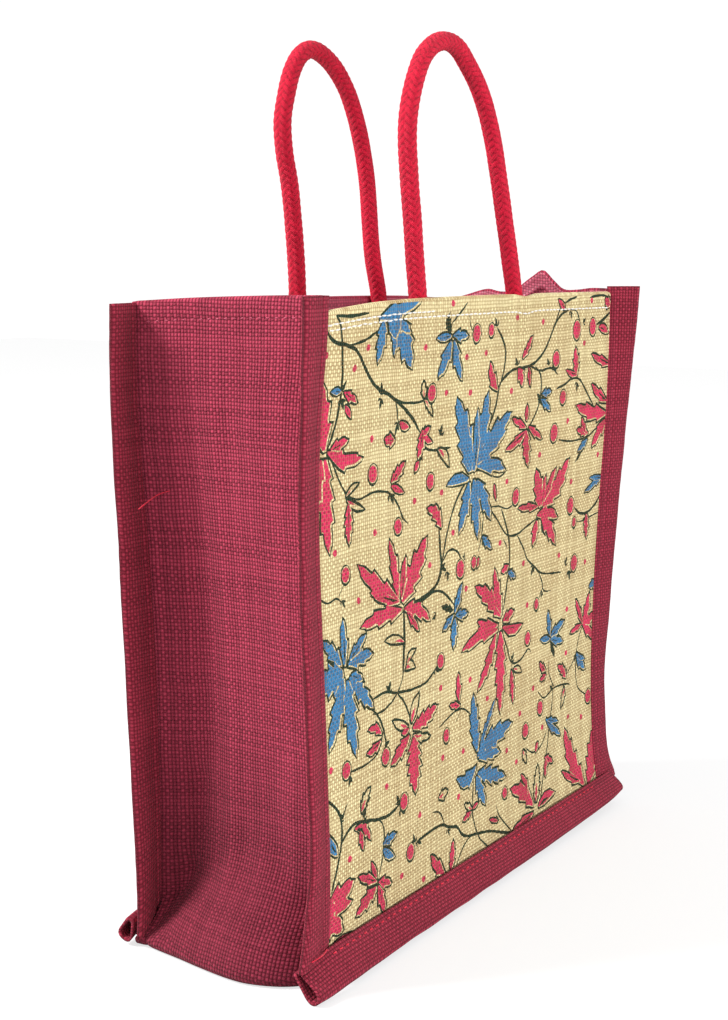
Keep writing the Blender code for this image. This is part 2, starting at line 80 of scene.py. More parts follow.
# ---------------------------------------------------------------- sizes shared with the solids
WIDTH = 0.345
SEAM_HEIGHT = 0.018
GUSSET_EDGE = 0.0012
GUSSET_WIDE = 0.1125      # cloth between the two seams, as stitches and creases are laid out on it
GUSSET_RIPPLE_WIDE = 0.112    # the same as its unevenness is laid out
BINDING_THICK = 0.0048
BINDING_FEET = {"front_left": 0.0165, "front_right": 0.0150, "back_left": 0.0205, "back_right": 0.0180}
BINDING_TUCK = 0.0016    # how far the visible strips reach in over the cloth
BASE_BINDING_WALL = 0.0012
BASE_RISE_SHARE = 0.13
FRONT_FOOT_SHARE = 0.05
BACK_FOOT_SHARE = 0.02
FOOT_RUN = 0.030
BASE_FOLD_RADIUS = 0.004
SPLAY_TOP = 0.011
SPLAY_FULL = 0.005
ROPE_INSIDE = 0.028
ROPE_CLEAR = 0.0080
BACK_LEFT_SLANT = 0.0154

# ---------------------------------------------------------------- sizes of this scene alone
SIDE_EDGE_IN = 0.0010     # how far below its cut edge a sheet's own points end, because the rounding takes the rest
BACK_EDGE_IN = 0.0009
FRONT_EDGE_IN = 0.9       # the same in mm
HEM_DROPS = (0, 1.2, 2.6, 4.5, 6.5, 8.2, 9.2, 10, 10.8, 11.8, 13.5, 16)    # rows of points down a hem, mm
LOW_TUCK, LOW_TUCK_HEIGHT = 0.0012, 0.065    # the upright strips reach in further below this height
BASE_BINDING_OUT, BASE_BINDING_LIFT = 0.0024, 0.0022
BINDING_STITCH_SHARE = 0.31    # of a strip's width from its root
ROPE_MOUTH = 0.352        # above this height a handle keeps the place that the panel has here
STRANDS, ROPE_SIDES = 8, 64
STEM_STEP = 2.6           # mm
WEAVE_PITCH = 0.00195
STITCH_PROUD = 0.0001     # from the cloth to a stitch's middle line
STITCH_AHEAD = 0.002      # from a stitch to the spot that it points to
FRONT_HEM_THREAD = dict(long=0.0048, thick=0.0011, lift=0.0003)
FRONT_HEM_ROWS = (("front_hem_stitches", 0.0098, 6, 339), ("front_hem_second_row", 0.0068, 4, 112))
BASE_STITCH_ROWS = (("first", 0.19, 1.0), ("second", 0.30, 0.83))    # name, share of the width, pitch
FLOOR_SIZE = 8
FOCAL_PIXELS = 1733.55
CAMERA_PLACE = (-0.896501, -0.528433, 0.39163)
CAMERA_TURN, CAMERA_DOWN, CAMERA_ROLL = -58.2187, 9.0733, 0.2288    # degrees


def table(columns, *rows):
    """Rows with named columns."""
    return [dict(zip(columns.split(), row)) for row in rows]


FRONT_LEFT_SEAM = table(
    "z y", (18, 0.5), (63, -0.9), (107, 0.5), (158, 2.5), (208, 4.9), (245, 6.0), (285, 5.5), (317, 3.4),
    (335, 1.6), (362, 0.2))
FRONT_RIGHT_SEAM = table(
    "z y", (18, 0.2), (49, 4.4), (92, 6.6), (154, 6.3), (215, 3.9), (277, 0.8), (320, 0.0), (362, 0.0))
BACK_LEFT_SEAM = table(
    "z y", (18, 112.0), (51, 110.7), (109, 110.6), (149, 111.6), (193, 113.6), (227, 115.7), (265, 119.0),
    (308, 122.0), (362, 122.0))
BACK_RIGHT_SEAM = table("z y", (18, 112.0), (80, 113.0), (200, 115.5), (300, 117.5), (362, 118.0))
BACK_SAG = table("z sag", (18, 0), (120, 4), (240, 8), (320, 12), (362, 13.5))
GUSSET_FOLD = table(
    "z depth across", (0, 0.0, 0.95), (18, 3.0, 0.93), (35, 8.0, 0.86), (60, 11.0, 0.79), (110, 12.5, 0.75),
    (200, 12.5, 0.74), (270, 9.5, 0.72), (320, 5.5, 0.70), (370, 3.0, 0.70))
GUSSET_BULGE = table(
    "across out up back", (0.00, 0.0, 30, 0.0), (0.04, 10.5, 42, 0.0), (0.09, 17.0, 52, 0.0),
    (0.17, 22.5, 66, 0.0), (0.30, 27.0, 76, 0.0), (0.42, 27.0, 76, 0.0), (0.58, 24.6, 66, 0.0),
    (0.76, 21.2, 48, 0.0), (0.88, 19.4, 34, 1.6), (0.93, 18.4, 30, 2.3), (0.96, 16.6, 29, 3.5),
    (0.985, 18.6, 28, 5.0), (1.00, 0.0, 26, 0.0))
RIGHT_BULGE_SHARE = 0.85
FRONT_TOP = table(
    "x z", (0, 352.6), (20, 354.0), (45, 355.4), (83, 356.2), (150, 356.0), (208, 355.2), (221, 353.8),
    (236, 355.0), (270, 354.6), (345, 353.4))
BACK_TOP = table(
    "x z", (0, 355.0), (60, 354.0), (130, 353.4), (200, 352.4), (262, 350.6), (300, 348.6), (345, 346.5))
LEFT_TOP = table("across z", (0.0, 360.6), (0.3, 359.6), (0.7, 357.4), (1.0, 355.0))
RIGHT_TOP = table(
    "across z", (0.00, 355.6), (0.10, 355.6), (0.18, 354.4), (0.27, 354.6), (0.34, 361.0), (0.40, 367.0),
    (0.47, 362.6), (0.52, 358.4), (0.58, 353.2), (0.67, 352.0), (0.76, 353.6), (0.90, 349.6), (1.00, 346.5))
FRONT_LEFT_TURN = table(
    "z turn wide", (14, 9, 32), (20, 8, 29), (28, 7, 25.6), (38, 6, 22.6), (50, 6, 20.8), (70, 10, 20), (200, 10, 20),
    (300, 10, 20), (335, 4, 20), (362, 1, 20))
FRONT_RIGHT_TURN = table(
    "z turn wide", (14, 3, 28), (20, 3, 25), (26, 3, 22), (34, 2, 20.4), (55, 2, 20), (89, 2, 20), (146, 12, 20),
    (215, 18, 20), (293, 27, 20), (335, 40, 20.5), (362, 50, 20.5))
BACK_LEFT_TURN = table(
    "z turn wide", (18, -1, 18.5), (34, -3, 19.4), (57, -1, 20), (93, 6, 20), (160, 11, 20), (227, 9, 20),
    (276, 3.5, 20), (308, 1, 20), (362, -2, 20))
BACK_RIGHT_TURN = table("z turn wide", (18, 12, 20), (120, 20, 20), (240, 12, 20), (362, 8, 20))
BINDING_TOPS = {"front_left": 0.3610, "front_right": 0.3575, "back_left": 0.3545, "back_right": 0.3465}
FRONT_BASE_RUN = table(
    "x reach drop thick gape droop", (-28, 13.6, 14.8, 8.6, 2.6, 2.0), (-14, 14.2, 16.0, 7.0, 1.2, 0.9),
    (2, 13.6, 17.0, 5.8, 0, 0), (50, 12.6, 16.8, 5.4, 0, 0), (150, 12.0, 16.6, 5.4, 0, 0),
    (260, 12.0, 15.6, 5.4, 0, 0), (340, 12.0, 13.2, 5.4, 0, 0), (359, 11.0, 11.6, 5.6, 0, 0))
BACK_BASE_RUN = table(
    "x reach drop thick gape droop", (-19, 5.4, 13.0, 9.6, -2.2, 4.9), (-9, 7.8, 14.8, 8.0, -2.0, 2.4),
    (2, 10.2, 15.4, 6.6, -1.0, 0.6), (30, 11.5, 16.4, 5.8, 0, 0), (150, 12.0, 16.6, 5.4, 0, 0),
    (290, 12.0, 16.4, 5.6, 0, 0), (363, 9.0, 15.0, 7.0, 0, 1.0))
FRONT_HANDLE = table(
    "x z", (107, 350), (102.5, 378), (99.5, 399), (96, 420), (93.6, 440), (94.6, 456), (100.2, 472),
    (109, 485.5), (121, 493.5), (134.5, 496.5), (147.5, 494), (159.5, 486), (172, 475.5), (183, 461.5),
    (192.6, 443), (201, 420), (208.2, 399), (215.4, 377), (223.2, 350))
BACK_HANDLE = table(
    "x z", (125, 350), (123.6, 376), (121, 398), (117.5, 420), (113, 438), (111.6, 455), (115, 470),
    (120, 483), (127.6, 492.5), (138, 496.8), (149.6, 494.6), (163.4, 487), (175.4, 475.4), (185, 460.5),
    (193, 442.5), (198.6, 423), (202.2, 399.5), (206.4, 376), (214.4, 350))
FLAT_BINDING_SHAPE = table(
    "out half", (0.00, 0.62), (0.10, 0.80), (0.25, 0.80), (0.31, 0.56), (0.38, 0.84), (0.60, 1.00),
    (0.84, 0.96), (0.95, 0.68), (1.00, 0.22))
OPEN_BINDING_SHAPE = table(
    "out half", (0.00, 0.24), (0.04, 0.52), (0.20, 0.66), (0.45, 0.84), (0.70, 1.00), (0.87, 0.92),
    (0.96, 0.62), (1.00, 0.24))

# Creases of the cloth, listed one by one: soft troughs (plus) and ridges (minus) from one point to another.
# Gusset sides: across the strip (0 front, 1 back) and height.
LEFT_CREASES = table(
    "a1 z1 a2 z2 deep wide",
    (0.97, 10, 0.86, 42, 2.2, 0.060), (0.86, 42, 0.80, 95, 1.6, 0.055), (0.60, 46, 0.63, 300, -1.3, 0.075),
    (0.30, 60, 0.36, 210, 0.7, 0.10), (0.10, 30, 0.22, 92, -0.8, 0.06), (0.33, 26, 0.52, 64, 0.6, 0.07),
    (0.42, 330, 0.55, 250, 0.7, 0.09), (0.16, 250, 0.20, 320, -0.6, 0.07), (0.84, 120, 0.88, 300, -0.7, 0.05),
    (0.05, 44, 0.30, 22, 0.7, 0.05), (0.70, 22, 0.80, 12, -0.6, 0.05))
RIGHT_CREASES = table(
    "a1 z1 a2 z2 deep wide",
    (0.40, 352, 0.46, 260, -1.2, 0.06), (0.97, 10, 0.84, 46, 1.6, 0.06), (0.55, 50, 0.60, 300, -0.9, 0.08),
    (0.20, 80, 0.26, 260, 0.7, 0.08))
# Panels: x and height.
FRONT_CREASES = table(
    "a1 z1 a2 z2 deep wide",
    (221, 358, 221, 326, -0.8, 3.0), (214, 352, 205, 320, 0.5, 6), (109, 357, 112, 330, 0.4, 6),
    (60, 60, 150, 34, 0.5, 14), (230, 300, 300, 240, 0.4, 22), (20, 200, 70, 320, 0.4, 18),
    (120, 180, 190, 120, -0.4, 20), (300, 60, 338, 100, 0.5, 14))
BACK_CREASES = table(
    "a1 z1 a2 z2 deep wide",
    (125, 356, 118, 250, 0.9, 12), (215, 356, 226, 240, 0.9, 12), (60, 60, 110, 220, -0.8, 18),
    (170, 330, 172, 120, -0.7, 20), (280, 90, 250, 260, 0.8, 20), (20, 40, 80, 90, 0.8, 14),
    (325, 40, 270, 90, 0.8, 14), (300, 340, 335, 250, 0.6, 12))

# Loose ends of sewing thread: name, points (mm), finish and thickness.
LOOSE_THREADS = (
    ("left_side_red_tail", ((-15, 109, 246), (-9, 108, 249), (-2, 107, 252), (3, 103, 254), (5, 99, 254)),
     "red thread", 0.7),
    ("back_base_red_tail", ((-14, 119, 7), (-11, 117, 4), (-8, 114, 3), (-5, 113, 5)), "red thread", 1.2),
    ("near_corner_red_tail", ((-21, -5, 20), (-16, -7, 21.5), (-11, -6, 21), (-6, -5, 22)), "red thread", 0.8),
)
# Lights: name, place, what they point at, size and power.
STUDIO_LIGHTS = (
    ("key light", (-1.5, 1.6, 2.1), (0.0, 0.0, 0.2), 0.8, 112.0),
    ("front light", (-0.20, -1.75, 0.45), (-0.05, 0.0, 0.10), 0.7, 21.0),
)

# ---------------------------------------------------------------- the print, charted
# Positions are in millimetres on the front panel, read off and rounded.
# Petals of the flowers: where each starts and ends, how wide, how many teeth a side and how far it bows.
PETALS = table(
    "ink x z tip_x tip_z wide teeth bow",
    # rose flower cut by the left seam
    ("rose", 6, 282, 1, 318, 15, 2, 1), ("rose", 9, 281, 43, 275, 9, 1, -3), ("rose", 12, 282, 28, 286, 6, 1, 0),
    ("rose", 7, 278, 11, 228, 13, 3, -1), ("rose", 4, 278, -6, 244, 12, 2, 0),
    # rose flower left of the middle
    ("rose", 80, 191, 38, 218, 11, 2, 2), ("rose", 79, 193, 71, 227, 8, 2, -1),
    ("rose", 83, 190, 111, 223, 14, 3, -1), ("rose", 82, 192, 88, 215, 7, 1, 0), ("rose", 80, 191, 50, 201, 6, 1, 1),
    ("rose", 82, 186, 39, 184, 9, 2, -1), ("rose", 85, 186, 113, 174, 9, 2, 3), ("rose", 88, 184, 100, 171, 5, 1, 0),
    # blue flower in the middle
    ("blue", 160, 254, 141, 299, 16, 3, -2), ("blue", 162, 254, 154, 283, 9, 2, 0),
    ("blue", 164, 254, 178, 300, 14, 3, -2), ("blue", 166, 255, 166, 291, 7, 1, 0),
    ("blue", 168, 256, 209, 285, 14, 3, 2), ("blue", 168, 258, 203, 275, 8, 2, 0),
    ("blue", 169, 256, 203, 251, 10, 1, 2), ("blue", 159, 250, 133, 249, 7, 0, -2),
    ("blue", 160, 248, 148, 219, 10, 2, 1), ("blue", 165, 249, 171, 213, 11, 2, 0),
    ("blue", 168, 248, 187, 222, 10, 2, 1),
    # rose flower right of the middle
    ("rose", 253, 221, 245, 246, 12, 2, -1), ("rose", 255, 221, 259, 241, 6, 1, 0),
    ("rose", 257, 221, 293, 248, 14, 3, -3), ("rose", 258, 224, 273, 244, 7, 1, 0),
    ("rose", 250, 222, 223, 224, 5, 1, 0), ("rose", 250, 216, 280, 211, 9, 1, 2),
    ("rose", 256, 214, 279, 193, 10, 2, 2), ("rose", 250, 213, 246, 197, 8, 1, 0),
    ("leaf", 256, 210, 264, 201, 5, 1, 0),
    # small rose flowers
    ("rose", 228, 274, 210, 281, 5, 1, 0), ("rose", 229, 272, 203, 262, 6, 1, 1),
    ("rose", 229, 272, 233, 249, 9, 2, -1), ("rose", 232, 274, 250, 265, 5, 1, 0),
    ("rose", 229, 278, 229, 288, 5, 0, 0), ("rose", 345, 273, 297, 282, 10, 2, 2),
    ("rose", 345, 281, 320, 294, 7, 1, 1), ("rose", 346, 269, 326, 252, 9, 1, -1),
    ("rose", 348, 306, 318, 314, 6, 1, 1),
    # blue flower at the left seam
    ("blue", 22, 167, 22, 192, 7, 1, 0), ("blue", 19, 168, 2, 184, 8, 2, 0), ("blue", 20, 164, -4, 160, 17, 3, 0),
    ("blue", 25, 167, 50, 168, 9, 2, 1), ("blue", 27, 169, 44, 180, 6, 1, 0), ("blue", 20, 161, 4, 125, 11, 3, 1),
    ("blue", 24, 159, 30, 116, 12, 3, -1), ("blue", 26, 160, 49, 138, 9, 3, 0), ("blue", 28, 161, 39, 156, 6, 1, 0),
    # rose flower under the middle
    ("rose", 203, 160, 169, 184, 11, 3, -2), ("rose", 203, 161, 194, 191, 9, 2, 1),
    ("rose", 199, 155, 172, 162, 8, 1, 2), ("rose", 199, 152, 151, 148, 9, 1, -3),
    ("rose", 197, 150, 172, 119, 8, 3, 2), ("rose", 206, 156, 221, 160, 7, 1, 0),
    ("rose", 206, 152, 234, 149, 7, 0, -3), ("rose", 203, 150, 203, 98, 13, 4, 0),
    # open rose flower
    ("rose", 92, 116, 121, 123, 9, 3, -1), ("rose", 88, 113, 67, 101, 8, 2, 0), ("rose", 93, 111, 93, 78, 14, 4, 0),
    ("open", 90, 120, 99, 135, 7, 0, 1), ("open", 86, 119, 69, 126, 5, 0, 1), ("open", 92, 112, 112, 107, 5, 1, -1),
    ("rose", 87, 117, 79, 116, 4, 0, 0),
    # blue flower low right
    ("blue", 172, 82, 167, 119, 11, 3, 1), ("blue", 176, 84, 196, 109, 5, 3, 0), ("blue", 172, 79, 221, 88, 13, 3, 2),
    ("blue", 174, 77, 203, 74, 8, 2, 1), ("blue", 170, 73, 144, 72, 10, 1, 5), ("blue", 172, 68, 210, 56, 10, 3, 0),
    ("blue", 170, 67, 181, 46, 9, 2, 0),
    # small blue flowers
    ("blue", 143, 173, 152, 189, 6, 1, 0), ("blue", 144, 171, 159, 170, 6, 1, 0),
    ("blue", 143, 170, 140, 152, 7, 2, 0), ("blue", 141, 172, 128, 165, 5, 1, 0),
    ("leaf", 141, 175, 126, 180, 5, 2, 0), ("blue", 276, 133, 272, 150, 6, 1, 0),
    ("blue", 277, 132, 298, 139, 7, 1, 0), ("blue", 276, 131, 261, 133, 5, 0, 0),
    ("blue", 277, 130, 297, 125, 6, 1, 0), ("leaf", 277, 129, 284, 117, 5, 1, 0),
    ("blue", 64, 350, 89, 319, 15, 3, 2), ("blue", 57, 347, 53, 324, 9, 2, 0), ("blue", 66, 347, 85, 339, 8, 1, 0),
    ("blue", 67, 347, 70, 327, 6, 1, 0), ("blue", 52, 347, 94, 356, 9, 1, 0), ("blue", 66, 352, 70, 336, 14, 0, 0),
    ("blue", 130, 335, 114, 334, 5, 0, 0), ("blue", 132, 335, 149, 334, 6, 1, 0),
    ("blue", 130, 332, 118, 312, 9, 1, 1), ("blue", 133, 332, 145, 309, 8, 1, -1),
    ("leaf", 129, 337, 123, 345, 7, 2, 0), ("blue", 57, 59, 72, 61, 6, 1, 0), ("blue", 57, 56, 70, 48, 6, 0, -1),
    ("blue", 9, 68, -1, 82, 7, 0, 1), ("blue", 348, 231, 320, 222, 5, 1, 0), ("blue", 348, 229, 326, 231, 4, 0, 0),
    ("blue", 346, 157, 336, 155, 6, 1, 0), ("blue", 271, 78, 294, 62, 6, 1, -1), ("blue", 273, 77, 290, 72, 4, 1, 0),
    ("blue", 319, 112, 335, 98, 7, 1, -1), ("blue", 320, 110, 334, 105, 4, 0, 0),
    ("blue", 248, 293, 260, 294, 5, 1, 0), ("blue", 247, 290, 260, 282, 5, 1, 0), ("blue", 19, 312, 9, 312, 4, 0, 0),
    ("blue", 177, 213, 189, 204, 5, 1, 0), ("blue", 318, 258, 305, 251, 5, 1, 0),
    ("leaf", 316, 257, 302, 244, 4, 1, 0), ("blue", 212, 186, 222, 181, 5, 1, 0),
    # rose flowers cut by the base seam
    ("rose", 50, 40, 30, 49, 6, 1, 0), ("rose", 52, 39, 66, 34, 6, 1, 0), ("rose", 50, 37, 29, 27, 9, 2, 0),
    ("rose", 52, 37, 60, 18, 7, 1, 0), ("rose", 50, 42, 44, 53, 4, 0, 0), ("rose", -6, 38, 26, 49, 15, 2, -1),
    ("rose", -6, 38, 24, 38, 10, 1, 0), ("rose", -4, 34, 16, 24, 13, 1, 1), ("rose", 6, 18, 30, 17, 6, 0, 0),
    ("rose", 247, 27, 216, 46, 11, 2, -3), ("rose", 240, 36, 232, 51, 5, 1, -2), ("open", 251, 28, 257, 51, 8, 3, 0),
    ("rose", 254, 24, 279, 27, 7, 0, 2), ("rose", 246, 22, 216, 19, 6, 1, 0), ("rose", 323, 20, 301, 64, 14, 3, 3),
    ("rose", 330, 18, 346, 54, 15, 3, -2), ("rose", 317, 24, 292, 37, 6, 1, 1), ("rose", 328, 131, 315, 150, 5, 1, 0),
    ("rose", 330, 128, 337, 151, 9, 2, 0), ("rose", 326, 131, 308, 128, 4, 1, 0),
    ("rose", 328, 131, 346, 117, 8, 1, 1), ("rose", 332, 130, 347, 134, 8, 1, 0), ("rose", 128, 19, 112, 35, 8, 1, 1),
    ("rose", 136, 18, 140, 36, 6, 2, 0),
    # loose petals and buds
    ("rose", 22, 311, 35, 305, 5, 1, 0), ("rose", 24, 304, 30, 297, 4, 0, 0), ("rose", 189, 300, 178, 317, 8, 1, 2),
    ("rose", 220, 317, 232, 330, 5, 2, 0), ("rose", 215, 311, 222, 300, 8, 1, 1),
    ("rose", 229, 311, 232, 299, 4, 1, 0), ("rose", 296, 302, 293, 320, 8, 2, 0),
    ("rose", 297, 302, 280, 306, 4, 0, 1), ("rose", 318, 262, 301, 266, 6, 2, 0),
    ("rose", 315, 262, 307, 273, 5, 1, 0), ("rose", 127, 226, 111, 239, 8, 2, -3),
    ("rose", 30, 252, 30, 230, 7, 3, 0), ("open", 28, 254, 46, 247, 4, 0, -1), ("open", 27, 256, 40, 262, 3, 0, 1),
    ("rose", 73, 258, 87, 268, 6, 2, 0), ("rose", 73, 256, 86, 251, 4, 0, 0), ("rose", 75, 281, 65, 282, 7, 1, 0),
    ("rose", 80, 290, 90, 287, 5, 0, -1), ("rose", 104, 284, 100, 268, 7, 2, 1),
    ("rose", 104, 282, 115, 276, 4, 0, -1), ("rose", 101, 267, 97, 261, 4, 0, 0),
    ("rose", 104, 281, 112, 285, 4, 0, 0), ("open", 122, 271, 135, 260, 6, 0, 2),
    ("open", 104, 301, 114, 291, 4, 2, 1), ("open", 104, 302, 102, 311, 5, 1, 0),
    ("rose", 57, 122, 43, 127, 5, 1, -2), ("rose", 56, 118, 41, 114, 5, 1, 1), ("rose", 27, 77, 43, 66, 6, 2, 3),
    ("rose", 32, 74, 35, 63, 5, 1, 0), ("open", 34, 84, 44, 95, 6, 2, 1), ("open", 121, 67, 132, 69, 6, 1, 0),
    ("rose", 219, 122, 222, 100, 6, 2, 0), ("open", 222, 122, 234, 118, 4, 0, 1),
    ("rose", 190, 243, 193, 233, 3, 0, 0), ("rose", 325, 207, 327, 190, 7, 2, 0),
    ("rose", 270, 111, 261, 118, 5, 1, 1), ("rose", 271, 108, 262, 106, 4, 1, 0),
    ("rose", 303, 99, 290, 110, 6, 2, -1), ("open", 300, 93, 295, 80, 5, 1, 1), ("rose", 212, 190, 203, 187, 5, 1, 0),
    ("rose", 197, 31, 186, 35, 3, 0, 0), ("rose", 268, 53, 280, 47, 5, 1, 0), ("rose", 270, 52, 267, 40, 5, 1, 0),
    ("rose", 163, 47, 152, 44, 4, 1, 0), ("open", 164, 48, 154, 54, 4, 1, 0), ("rose", 165, 48, 172, 50, 3, 0, 0),
    ("open", 84, 152, 95, 151, 5, 0, 2), ("open", 86, 154, 96, 161, 4, 0, 2), ("open", 84, 168, 63, 172, 5, 0, -1),
    ("rose", 148, 119, 147, 136, 6, 1, 0), ("rose", 149, 116, 136, 119, 4, 1, 0),
    ("rose", 173, 201, 171, 195, 4, 0, 0), ("rose", 345, 345, 336, 349, 7, 1, 0),
    ("rose", 328, 331, 343, 327, 6, 0, 1), ("open", 236, 66, 240, 57, 5, 1, 0), ("rose", 258, 66, 254, 60, 4, 0, 0),
    ("rose", 276, 345, 266, 351, 4, 0, 0))

BERRIES = table(
    "x z radius", (26, 215, 4.6), (54, 265, 5.2), (112, 304, 5.2), (114, 254, 4.8), (80, 233, 4.6), (159, 335, 5.4),
    (150, 198, 5.6), (167, 199, 3.8), (177, 336, 4.0), (265, 314, 5.4), (294, 331, 6.4), (318, 332, 5.8),
    (277, 289, 4.8), (267, 267, 6.0), (219, 232, 5.2), (299, 216, 5.6), (306, 204, 3.4), (309, 176, 5.8),
    (242, 138, 4.6), (262, 88, 4.8), (240, 78, 5.0), (208, 46, 3.8), (125, 148, 4.6), (20, 111, 4.8),
    (61, 108, 5.0), (80, 77, 5.0), (132, 102, 4.4), (88, 45, 5.0), (339, 78, 5.0), (254, 158, 3.8))

DOTS = table(
    "x z", (2, 331), (42, 333), (30, 323), (102, 330), (149, 322), (128, 303), (156, 301), (52, 284), (97, 245),
    (127, 246), (56, 233), (16, 228), (141, 221), (114, 206), (38, 199), (172, 323), (211, 342), (245, 338),
    (207, 298), (306, 322), (286, 273), (248, 255), (206, 243), (298, 232), (336, 246), (200, 206), (233, 188),
    (285, 185), (327, 174), (5, 115), (125, 132), (162, 129), (157, 185), (61, 91), (127, 90), (153, 87), (98, 64),
    (146, 61), (78, 34), (103, 24), (21, 62), (232, 91), (252, 103), (212, 72), (265, 74), (226, 61), (301, 146),
    (302, 116), (240, 160), (185, 112), (307, 71), (327, 66), (0, 129), (130, 353), (315, 349))

# Stems: how wide, and the points that each runs through.
STEMS = table(
    "wide path",
    (1.7, ((0, 345), (8, 338), (22, 335), (32, 331), (45, 318), (55, 311), (66, 307), (80, 300), (92, 292),
           (101, 283))),
    (1.3, ((68, 306), (82, 301), (98, 300), (107, 301))), (1.2, ((22, 335), (38, 337), (50, 341), (58, 341))),
    (1.5, ((9, 351), (14, 345), (17, 330), (19, 318), (18, 305), (14, 292), (9, 283))),
    (1.0, ((74, 304), (77, 296), (78, 291), (86, 286))), (1.0, ((78, 291), (76, 285), (73, 282))),
    (1.3, ((101, 283), (104, 276), (112, 272), (124, 271), (136, 271))),
    (1.1, ((12, 277), (20, 266), (28, 257), (40, 253), (54, 255), (66, 254), (72, 252), (80, 245), (85, 237),
           (91, 233))),
    (1.5, ((9, 351), (22, 350), (40, 351))),
    (2.0, ((124, 226), (126, 212), (127, 203), (124, 196), (116, 191), (102, 188), (86, 187))),
    (1.4, ((128, 205), (134, 222), (142, 236), (152, 246), (160, 250))),
    (1.1, ((128, 205), (136, 211), (146, 209), (152, 202))),
    (1.5, ((169, 268), (182, 282), (188, 292), (191, 302), (197, 307), (210, 311), (230, 312), (244, 317),
           (254, 326), (262, 336), (272, 342), (282, 344))),
    (1.2, ((262, 336), (270, 346), (280, 350), (292, 352))),
    (1.6, ((192, 303), (196, 312), (197, 322), (192, 330), (184, 337))),
    (1.2, ((230, 312), (244, 308), (258, 309), (268, 304))),
    (1.3, ((237, 311), (244, 306), (246, 298), (245, 289), (239, 280), (232, 274))),
    (1.1, ((282, 344), (292, 343), (298, 336))), (1.8, ((346, 341), (334, 336), (323, 333))),
    (1.3, ((346, 350), (330, 352), (312, 351))),
    (1.2, ((267, 295), (278, 297), (290, 300), (300, 299), (310, 292), (318, 285), (324, 280))),
    (1.0, ((274, 262), (286, 260), (302, 259), (318, 260), (330, 264), (346, 270))),
    (1.1, ((172, 246), (182, 232), (194, 222), (208, 210), (222, 208), (236, 211), (248, 214))),
    (0.9, ((182, 230), (196, 229), (208, 226), (217, 228))),
    (1.4, ((200, 227), (207, 216), (212, 205), (213, 190), (210, 178), (206, 163))),
    (1.1, ((222, 208), (232, 198), (238, 190), (248, 184), (258, 178), (272, 175), (290, 173))),
    (1.0, ((256, 179), (262, 170), (264, 165), (275, 163))), (0.9, ((263, 168), (257, 160))),
    (1.5, ((346, 219), (338, 212), (326, 208), (314, 209), (305, 214))),
    (0.9, ((346, 206), (330, 204), (318, 203), (309, 204))),
    (1.3, ((86, 187), (104, 187), (118, 190), (128, 188), (136, 183), (142, 178))),
    (1.3, ((48, 143), (62, 144), (74, 141), (92, 139), (106, 139), (114, 142), (120, 146))),
    (1.3, ((74, 141), (82, 134), (87, 126), (90, 119))),
    (1.1, ((82, 152), (78, 144), (68, 137), (56, 134), (48, 135))),
    (2.0, ((84, 185), (84, 170), (82, 158), (81, 150))),
    (1.3, ((40, 143), (52, 134), (58, 126), (61, 117), (61, 113))),
    (1.0, ((59, 123), (52, 112), (40, 109), (28, 109), (21, 109))),
    (1.5, ((-1, 101), (8, 94), (13, 86), (13, 74), (9, 62), (3, 48))), (1.0, ((13, 86), (20, 93))),
    (1.6, ((12, 72), (18, 77), (27, 80), (38, 78), (52, 75), (64, 74), (75, 77))),
    (1.1, ((50, 76), (57, 70), (58, 60), (56, 52), (52, 42))),
    (1.5, ((94, 48), (108, 50), (124, 50), (134, 46), (144, 43), (150, 37), (158, 33), (170, 31), (185, 28),
           (206, 21), (220, 17))),
    (1.0, ((128, 50), (122, 58), (113, 61))),
    (1.0, ((123, 109), (134, 112), (144, 114), (153, 113), (162, 108), (166, 103))), (0.9, ((150, 113), (144, 107))),
    (1.0, ((166, 66), (164, 48), (166, 40), (172, 28), (184, 18))), (1.0, ((141, 18), (152, 28), (162, 32))),
    (1.2, ((205, 149), (212, 138), (219, 127), (232, 126), (243, 131), (247, 128))), (0.9, ((219, 127), (221, 118))),
    (1.1, ((259, 99), (268, 93), (282, 96), (300, 95), (309, 93))),
    (0.9, ((275, 117), (275, 109), (279, 102), (284, 97))),
    (1.1, ((282, 96), (280, 84), (276, 74), (272, 60), (268, 50), (262, 38), (256, 24))),
    (0.9, ((272, 70), (262, 62), (250, 61), (239, 67))),
    (1.0, ((302, 100), (312, 106), (318, 112), (322, 122), (328, 130))),
    (0.9, ((319, 112), (319, 98), (323, 88), (331, 82), (339, 79))),
    (1.0, ((196, 41), (199, 34), (206, 27), (216, 18))), (1.0, ((-1, 207), (8, 203), (16, 204), (22, 201))),
    (0.8, ((19, 205), (25, 211))), (1.0, ((178, 229), (176, 214), (172, 205))),
    (1.1, ((130, 342), (138, 347), (147, 353))), (0.9, ((150, 346), (151, 340), (155, 336))),
    (0.9, ((204, 208), (210, 201))), (0.8, ((186, 249), (196, 247), (206, 250))))

